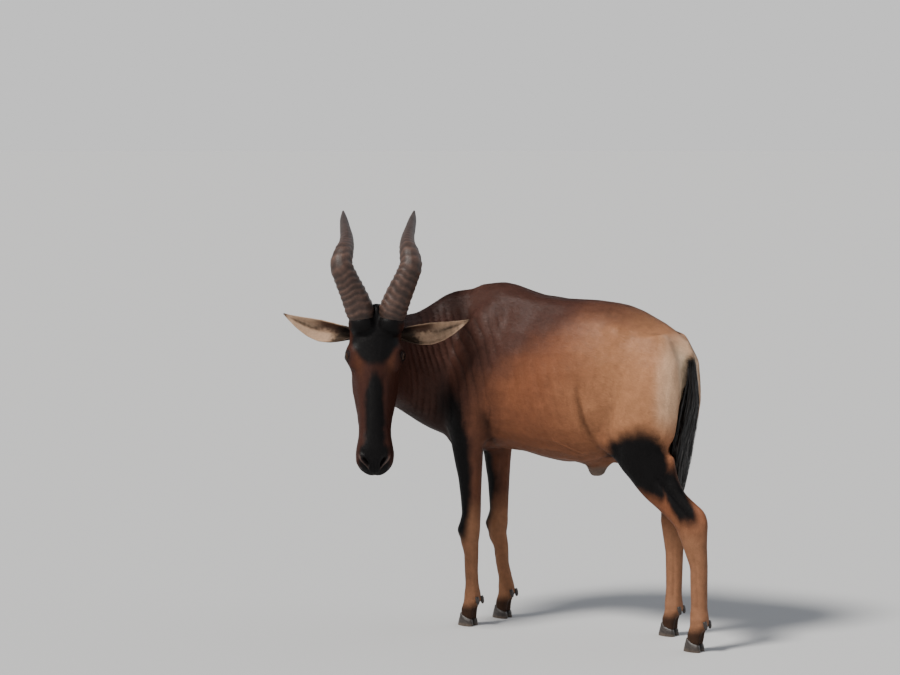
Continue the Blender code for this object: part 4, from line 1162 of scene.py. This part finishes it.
class HARTEBEEST_OT_coat(bpy.types.Operator):
    """Grow the short sleek coat in thin tufts that lie along the skin"""
    bl_idname = "hartebeest.coat"
    bl_label = "Coat"

    def execute(self, context):
        settings = context.scene.hartebeest_coat
        rng = np.random.default_rng(settings.seed)
        skin = the_skin().data
        corners, normals, uv, area = triangles(skin)
        faces = np.arange(len(corners) * 3).reshape(-1, 3)
        tree = BVHTree.FromPolygons(corners.reshape(-1, 3).tolist(), faces.tolist())
        middles = corners.mean(1)
        chance = (1 - bareness(middles)) / (0.35 + tuft_sizes(middles)[1] / 0.0015 * 0.65) ** 1.5
        material = coat_material()
        for name, inside in coat_regions(middles).items():
            part = tuple(a[inside] for a in (corners, normals, uv, area))
            roots, root_normals, places = scattered(part, settings.tufts, chance[inside], rng)
            count = len(roots)
            lengths, widths = tuft_sizes(roots)
            lengths = lengths * rng.uniform(0.7, 1.2, count)
            widths = widths * rng.uniform(0.7, 1.25, count)
            ways = coat_lie(roots, root_normals)
            ways = ways + np.cross(root_normals, ways) * rng.normal(0, 0.14, count)[:, None]
            rise = 0.0002 + coat_depth(roots) * rng.uniform(0.0, 0.22, count)
            tips = draped(tree, roots + ways * lengths[:, None], rise)
            shape = blades(roots, tips, root_normals, widths)
            base = markings(roots, root_normals, tones())
            glint = root_normals + rng.normal(0, settings.ruffle, roots.shape)
            glint /= np.linalg.norm(glint, axis=1)[:, None]
            mesh = blade_mesh(name, shape, tuft_colours(base, shape.shape[1], rng), places, glint)
            finish_piece(new_object(name, mesh), material)
        return {"FINISHED"}


# Middle line of the tail from the rump down: x, y, z in body axes, and half its depth and width.
TAIL = np.array((
    (0.352, -0.006, 0.985, 0.0175, 0.020), (0.358, -0.010, 0.935, 0.0165, 0.019),
    (0.354, -0.015, 0.860, 0.0255, 0.029), (0.338, -0.019, 0.770, 0.0310, 0.035),
    (0.321, -0.022, 0.680, 0.0320, 0.036), (0.311, -0.025, 0.610, 0.0300, 0.034),
    (0.307, -0.028, 0.545, 0.0240, 0.027), (0.305, -0.030, 0.490, 0.0120, 0.013),
    (0.304, -0.031, 0.455, 0.0030, 0.003),
))


def tail_at(heights):
    """Middle and half sizes of the tail at each height."""
    table = TAIL[::-1]
    x, y, deep, wide = (np.interp(heights, table[:, 2], table[:, i]) for i in (0, 1, 3, 4))
    return x + BODY_ORIGIN[0], y + BODY_ORIGIN[1], deep, wide


def ribbons(paths, sides, widths):
    """Corner points of ribbons that follow their paths and taper to a point."""
    count, rows = paths.shape[:2]
    taper = np.interp(np.linspace(0, 1, rows), (0, 0.15, 0.7, 1), (0.2, 1.0, 0.8, 0.25))
    half = widths[:, None, None] * taper[None, :, None] * 0.5 * sides[:, None, :]
    left, right = paths - half, paths + half
    pairs = np.stack([left, right], axis=2)[:, :-1].reshape(count, -1, 3)
    return np.concatenate([pairs, paths[:, -1:]], axis=1)


class HARTEBEEST_OT_tail(bpy.types.Operator):
    """Hang the brush of long hair on the tail"""
    bl_idname = "hartebeest.tail"
    bl_label = "Tail"

    def execute(self, context):
        rng = np.random.default_rng(context.scene.hartebeest_coat.seed + 1)
        count, rows = 4600, 12
        start = 1.015 - 0.44 * rng.random(count) ** 0.85
        end = np.maximum(start - rng.uniform(0.12, 0.30, count), 0.458 + 0.07 * rng.random(count))
        angle, reach = rng.uniform(0, 2 * math.pi, count), rng.random(count) ** 0.35
        share = np.linspace(0, 1, rows)[None, :]
        heights = start[:, None] + (end - start)[:, None] * share
        x, y, deep, wide = tail_at(heights)
        rooted = np.interp(start, (0.86, 0.93), (0.30, 0.96))[:, None]
        fullness = 1.24 - 0.14 * step(0.60, 0.50, heights)
        spread = rooted + (fullness * reach[:, None] - rooted) * np.minimum(share * 2.0, 1)
        wander = 0.16 * np.sin(share * rng.uniform(2, 6, count)[:, None] + rng.uniform(0, 6, count)[:, None])
        turn = angle[:, None] + wander + 0.22 * np.sin(11 * heights + 3 * np.sin(2 * angle)[:, None])
        clump = 1 + 0.09 * np.sin(9 * angle[:, None] + 14 * heights)
        out = spread * clump
        paths = np.stack([x + deep * out * np.cos(turn), y + wide * out * np.sin(turn), heights], axis=2)
        facing = angle + rng.normal(0, 0.5, count)
        sides = np.stack([-np.sin(facing), np.cos(facing), np.zeros(count)], axis=1)
        shape = ribbons(paths, sides, rng.uniform(0.0010, 0.0022, count))
        # Partly painted sheen: the locks differ in darkness, and about one lock in eight is made grey, as
        # painted sheen on the glossy black hair.
        lock = 1.3 + 0.9 * np.sin(7 * angle + 3 * np.sin(3 * angle)) + rng.normal(0, 0.3, count)
        black = plain(tones()["black"], lock) * np.clip(lock, 0.6, 3)[:, None]
        sheen_locks = (rng.random(count) < 0.12)[:, None]
        black = np.where(sheen_locks, black + np.array((0.040, 0.034, 0.031)), black)
        places = np.stack([0.02 + 0.96 * angle / (2 * math.pi), 0.02 + 0.96 * (start - 0.55) / 0.47], axis=1)
        colours = tuft_colours(black, shape.shape[1], rng, 0.1, 0.9, 1.2)
        mesh = blade_mesh("tail_brush", shape, colours, places)
        material = tail_hair_material()
        finish_piece(new_object("tail_brush", mesh), material, ["tail_tuft"])
        self.fill_core(material)
        return {"FINISHED"}

    def fill_core(self, material):
        """A black body inside the brush, so that no light shows through it."""
        core = bmesh.new()
        ring = bmesh.ops.create_circle(core, segments=14, radius=1.0, cap_ends=True)["verts"]
        edges = list({edge for vert in ring for edge in vert.link_edges})
        heights = np.linspace(0.975, 0.50, 26)
        stations = list(zip(heights, *tail_at(heights)))
        place_ring(ring, stations[0], 0.62)
        for station in stations[1:]:
            grown = bmesh.ops.extrude_edge_only(core, edges=edges)["geom"]
            ring = [item for item in grown if isinstance(item, bmesh.types.BMVert)]
            edges = [item for item in grown if isinstance(item, bmesh.types.BMEdge)]
            place_ring(ring, station, 0.76)
        bmesh.ops.holes_fill(core, edges=edges, sides=0)
        bmesh.ops.recalc_face_normals(core, faces=core.faces)
        obj = object_from("tail_core", core)
        set_colours(obj.data, "marking", plain(tones()["black"], obj.data.vertices))
        finish_piece(obj, material)


def place_ring(ring, station, share):
    """Sets the corners of a ring round the tail's middle line at that height."""
    height, x, y, deep, wide = station
    for index, vert in enumerate(ring):
        angle = 2 * math.pi * index / len(ring)
        vert.co = (x + share * deep * math.cos(angle), y + share * wide * math.sin(angle), height)


# Middle line of a horn in head axes: out to the side, up the face, forward, and radius.
HORN = (
    (0.0510, 0.009, -0.020, 0.0490), (0.0600, 0.040, -0.006, 0.0505), (0.0800, 0.090, 0.012, 0.0470),
    (0.1050, 0.143, 0.034, 0.0425), (0.1220, 0.190, 0.044, 0.0400), (0.1160, 0.236, 0.026, 0.0350),
    (0.1090, 0.272, -0.014, 0.0285), (0.1095, 0.312, -0.064, 0.0235), (0.1170, 0.356, -0.118, 0.0190),
    (0.1240, 0.400, -0.172, 0.0140), (0.1290, 0.442, -0.222, 0.0040),
)
HORN_MIDDLE_Y = -0.005
HORN_SIDES = 40


def curve_through(points, steps):
    """Points of a smooth cubic curve through the given ones, that many to each stretch."""
    points = np.asarray(points, float)
    padded = np.vstack([2 * points[0] - points[1], points, 2 * points[-1] - points[-2]])
    out = []
    for i in range(len(points) - 1):
        p, q, r, s = padded[i:i + 4]
        for t in np.arange(steps) / steps:
            bend, twist = 2 * p - 5 * q + 4 * r - s, 3 * q - p - 3 * r + s
            out.append(0.5 * (2 * q + (r - p) * t + bend * t ** 2 + twist * t ** 3))
    out.append(points[-1])
    return np.array(out)


def build_horn(side, settings):
    line = [(up, HORN_MIDDLE_Y + side * out, forward, radius) for out, up, forward, radius in HORN]
    line = curve_through(line, 26)
    centres, radii = line[:, :3], line[:, 3]
    way = np.gradient(centres, axis=0)
    length = np.concatenate([[0], np.cumsum(np.linalg.norm(np.diff(centres, axis=0), axis=1))])
    way /= np.linalg.norm(way, axis=1)[:, None]
    share = length / length[-1]
    across = np.array((0.0, 1.0, 0.0))
    bm = bmesh.new()
    ring = bmesh.ops.create_circle(bm, segments=HORN_SIDES, radius=1.0, cap_ends=True)["verts"]
    edges = list({edge for vert in ring for edge in vert.link_edges})
    angle = np.arange(HORN_SIDES) * 2 * math.pi / HORN_SIDES
    shades = []
    for i, centre in enumerate(centres):
        if i:
            grown = bmesh.ops.extrude_edge_only(bm, edges=edges)["geom"]
            ring = [item for item in grown if isinstance(item, bmesh.types.BMVert)]
            edges = [item for item in grown if isinstance(item, bmesh.types.BMEdge)]
        wide = across - way[i] * (across @ way[i])
        wide /= np.linalg.norm(wide)
        front = np.cross(wide, way[i])
        # Rings crowd and sway a little, rise slowly from below and drop off sharply above.
        sway = 0.24 * np.sin(2 * angle + side + 5 * share[i]) + 0.12 * np.sin(5 * angle + 9 * share[i])
        rings = settings.rings * (share[i] / 0.62) ** 0.92 + sway + 0.22 * math.sin(23 * share[i] + side)
        wave = rings % 1.0
        rise = np.clip(wave / 0.66, 0, 1) ** 1.4
        ridge = np.where(wave < 0.66, rise, 1 - np.clip((wave - 0.66) / 0.34, 0, 1) ** 0.8)
        fade = np.interp(share[i], (0, 0.03, 0.10, 0.48, 0.62, 0.72), (0.2, 0.5, 1.0, 0.9, 0.45, 0.0))
        uneven = 0.75 + 0.35 * np.sin(angle) + 0.15 * np.sin(3 * angle + 31 * share[i])
        height = settings.ring_height * fade * uneven * (radii[i] / 0.045)
        groove = 0.0006 * np.sin(11 * angle + 4 * share[i]) * np.interp(share[i], (0, 0.6, 1), (1, 0.8, 0.1))
        radius = (radii[i] - 0.55 * height) + height * ridge + groove * (radii[i] / 0.045)
        radius = radius * np.interp(share[i], (0, 0.05), (0.90, 1.0))
        spots = centre + np.outer(radius * np.cos(angle), wide) + np.outer(radius * np.sin(angle), front)
        for vert, spot in zip(ring, spots):
            vert.co = HEAD_PLACE @ Vector(spot)
        shades.append(ridge)
    bmesh.ops.holes_fill(bm, edges=edges, sides=0)
    bmesh.ops.recalc_face_normals(bm, faces=bm.faces)
    obj = object_from(f"horn_sheath_{SIDE_NAMES[side]}", bm)
    rows = np.repeat(share, HORN_SIDES)
    ridge = np.concatenate(shades)
    colours = mixed(plain(settings.base, rows), tuple(settings.tip), step(0.35, 0.85, rows))
    # Painted shade: the grooves between the rings are darkened on the lower part of the horn.
    colours = mixed(colours, (0.020, 0.013, 0.011), 0.75 * (1 - ridge) * step(0.75, 0.60, rows))
    colours = mixed(colours, (0.020, 0.014, 0.012), 0.7 * step(0.06, 0.0, rows))
    points = read_points(obj.data)
    colours *= (1 + 0.20 * clouds(points, 0.020, 21) + 0.12 * clouds(points, 0.006, 22))[:, None]
    set_colours(obj.data, "marking", np.clip(colours, 0.002, 1))
    return obj


class HARTEBEEST_OT_horns(bpy.types.Operator):
    """Build the two ringed horns"""
    bl_idname = "hartebeest.horns"
    bl_label = "Horns"

    def execute(self, context):
        material = horn_material()
        for side in (LEFT, RIGHT):
            obj = build_horn(side, context.scene.hartebeest_horns)
            finish_piece(obj, material, ["horn_" + SIDE_NAMES[side]])
        return {"FINISHED"}


class HARTEBEEST_OT_eyes(bpy.types.Operator):
    """Build the two eyes with iris and level pupil"""
    bl_idname = "hartebeest.eyes"
    bl_label = "Eyes"

    def execute(self, context):
        material = eye_material()
        for side in (LEFT, RIGHT):
            bm = bmesh.new()
            place = Matrix.Translation(EYES[side])
            bmesh.ops.create_icosphere(bm, subdivisions=6, radius=EYE_RADIUS, matrix=place)
            obj = object_from(f"eyeball_{SIDE_NAMES[side]}", bm)
            points = read_points(obj.data)
            unit = (points - EYES[side]) @ HEAD_TURN / EYE_RADIUS
            look, long, across = lid_frame(side)
            a, b = unit @ long, unit @ across
            front = step(0.70, 0.95, unit @ look)
            write_points(obj.data, points + (unit * (0.0009 * front)[:, None]) @ HEAD_TURN.T)
            iris = np.sqrt(a ** 2 + b ** 2)
            pupil = np.sqrt((a / 0.44) ** 2 + (b / 0.20) ** 2)
            rays = 0.8 + 0.2 * np.sin(26 * np.arctan2(b, a))
            colours = plain((0.016, 0.010, 0.007), points)
            colours = mixed(colours, (0.034, 0.016, 0.008), step(0.78, 0.66, iris) * rays)
            colours = mixed(colours, (0.004, 0.003, 0.003), step(1.10, 0.94, pupil))
            colours = mixed(colours, (0.006, 0.004, 0.004), bump_at(iris, 0.74, 0.06))
            set_colours(obj.data, "marking", colours)
            finish_piece(obj, material, ["eye_" + SIDE_NAMES[side]])
        return {"FINISHED"}


def smooth_horny(name, sources, levels):
    """One piece from copies of CAD claws, rounded by subdivision but sharp at the ground and at the top."""
    joined = bmesh.new()
    for source in sources:
        part = merged_copy(source)
        top = max(vert.co.z for vert in part.verts)
        crease = part.edges.layers.float.new("crease_edge")
        bmesh.ops.dissolve_limit(part, angle_limit=math.radians(3), verts=part.verts, edges=part.edges)
        for edge in part.edges:
            if all(vert.co.z < 0.0008 for vert in edge.verts):
                edge[crease] = 0.9
            elif all(vert.co.z > top - 0.006 for vert in edge.verts):
                edge[crease] = 0.8
        pour(part, joined)
    obj = object_from(name, joined)
    rounding = obj.modifiers.new("rounding", "SUBSURF")
    rounding.levels = rounding.render_levels = levels
    apply_modifiers(obj)
    return obj


class HARTEBEEST_OT_hooves(bpy.types.Operator):
    """Build the hooves and dewclaws"""
    bl_idname = "hartebeest.hooves"
    bl_label = "Hooves"

    def execute(self, context):
        material = hoof_material()
        for name, start in (("hooves", "hoof_"), ("dewclaws", "dewclaw_")):
            sources = nodes_named(start)
            obj = smooth_horny(name, sources, 3 if start == "hoof_" else 2)
            points = read_points(obj.data)
            z = points[:, 2]
            normals = read_normals(obj.data)
            rings = np.sin((z + 0.0015 * clouds(points, 0.02, 31)) * 2 * math.pi / 0.0052)
            level = step(0.8, 0.3, np.abs(normals[:, 2])) * step(0.001, 0.006, z)
            write_points(obj.data, points + normals * (0.00035 * rings * level)[:, None])
            colours = plain((0.034, 0.027, 0.024), points)
            colours = mixed(colours, (0.090, 0.065, 0.048), step(0.016, 0.002, z) * 0.7)
            colours *= (1 + 0.22 * rings + 0.2 * clouds(points, 0.012, 32))[:, None]
            set_colours(obj.data, "marking", np.clip(colours, 0.003, 1))
            finish_piece(obj, material, sources)
        return {"FINISHED"}


FLOOR_RADIUS = 400.0

# Camera: its place from the point on the floor under the back, and its tilt down and turn in degrees.
CAMERA_AT = (4.1570, -7.9681, 1.7650)
CAMERA_DOWN, CAMERA_TURN = 4.456, 31.0
SENSOR_WIDTH = 36.0


class HARTEBEEST_OT_stage(bpy.types.Operator):
    """Set the pale floor, the soft light and the camera"""
    bl_idname = "hartebeest.stage"
    bl_label = "Stage"

    def execute(self, context):
        settings = context.scene.hartebeest_stage
        bm = bmesh.new()
        bmesh.ops.create_circle(bm, segments=96, radius=FLOOR_RADIUS, cap_ends=True)
        floor = object_from("floor", bm)
        material, _, shader, _ = node_material("floor_paint", 1.0, 0.0)
        shader.inputs["Base Color"].default_value = (settings.floor, settings.floor, settings.floor, 1)
        floor.data.materials.append(material)
        self.light_room(context, settings)
        camera = bpy.data.cameras.new("camera")
        camera.lens, camera.sensor_width, camera.clip_end = settings.lens, SENSOR_WIDTH, 1000.0
        obj = bpy.data.objects.new("camera", camera)
        obj.location = Vector(BODY_ORIGIN) + Vector(CAMERA_AT)
        obj.rotation_euler = (math.radians(90 - CAMERA_DOWN), 0.0, math.radians(CAMERA_TURN))
        context.scene.collection.objects.link(obj)
        context.scene.camera = obj
        return {"FINISHED"}

    def light_room(self, context, settings):
        """A room that is bright at the floor's level and dimmer above, and one broad key light."""
        world = bpy.data.worlds.new("studio")
        context.scene.world = world
        world.use_nodes = True
        tree = world.node_tree
        background = tree.nodes["Background"]
        background.inputs["Strength"].default_value = settings.backdrop
        place = tree.nodes.new("ShaderNodeTexCoord")
        split = tree.nodes.new("ShaderNodeSeparateXYZ")
        ramp = tree.nodes.new("ShaderNodeValToRGB")
        ramp.color_ramp.elements[0].position, ramp.color_ramp.elements[0].color = 0.12, (1, 1, 1, 1)
        ramp.color_ramp.elements[1].position, ramp.color_ramp.elements[1].color = 0.60, (0.24, 0.27, 0.32, 1)
        tree.links.new(place.outputs["Generated"], split.inputs["Vector"])
        tree.links.new(split.outputs["Z"], ramp.inputs["Fac"])
        tree.links.new(ramp.outputs["Color"], background.inputs["Color"])
        for name, energy, size, colour, tilt, turn in (
            ("key", settings.key, 14, (1.0, 0.97, 0.92), 40, -22),
            ("fill", settings.fill, 70, (0.93, 0.96, 1.0), 52, 140),
        ):
            light = bpy.data.lights.new(name, "SUN")
            light.energy, light.angle, light.color = energy, math.radians(size), colour
            obj = bpy.data.objects.new(name, light)
            obj.rotation_euler = (math.radians(tilt), 0.0, math.radians(turn))
            context.scene.collection.objects.link(obj)


OPERATORS = (
    HARTEBEEST_OT_stage, HARTEBEEST_OT_skin, HARTEBEEST_OT_coat, HARTEBEEST_OT_tail, HARTEBEEST_OT_horns,
    HARTEBEEST_OT_eyes, HARTEBEEST_OT_hooves,
)


class HARTEBEEST_PT_panel(bpy.types.Panel):
    """Lists the pieces of the hartebeest"""
    bl_label = "Red hartebeest"
    bl_idname = "HARTEBEEST_PT_panel"
    bl_space_type = "VIEW_3D"
    bl_region_type = "UI"
    bl_category = "Hartebeest"

    def draw(self, context):
        for operator in OPERATORS:
            self.layout.operator(operator.bl_idname)


SETTINGS = (
    ("hartebeest_coat", HartebeestCoat), ("hartebeest_horns", HartebeestHorns),
    ("hartebeest_stage", HartebeestStage),
)


def register():
    for name, group in SETTINGS:
        bpy.utils.register_class(group)
        setattr(bpy.types.Scene, name, bpy.props.PointerProperty(type=group))
    for item in (*OPERATORS, HARTEBEEST_PT_panel):
        bpy.utils.register_class(item)


def unregister():
    for item in (HARTEBEEST_PT_panel, *reversed(OPERATORS)):
        bpy.utils.unregister_class(item)
    for name, group in reversed(SETTINGS):
        delattr(bpy.types.Scene, name)
        bpy.utils.unregister_class(group)


def main():
    register()
    for name in ("Cube", "Light", "Camera"):
        if name in bpy.data.objects:
            bpy.data.objects.remove(bpy.data.objects[name])
    for operator in ("stage", "skin", "coat", "tail", "horns", "eyes", "hooves"):
        getattr(bpy.ops.hartebeest, operator)()


if __name__ == "__main__":
    main()
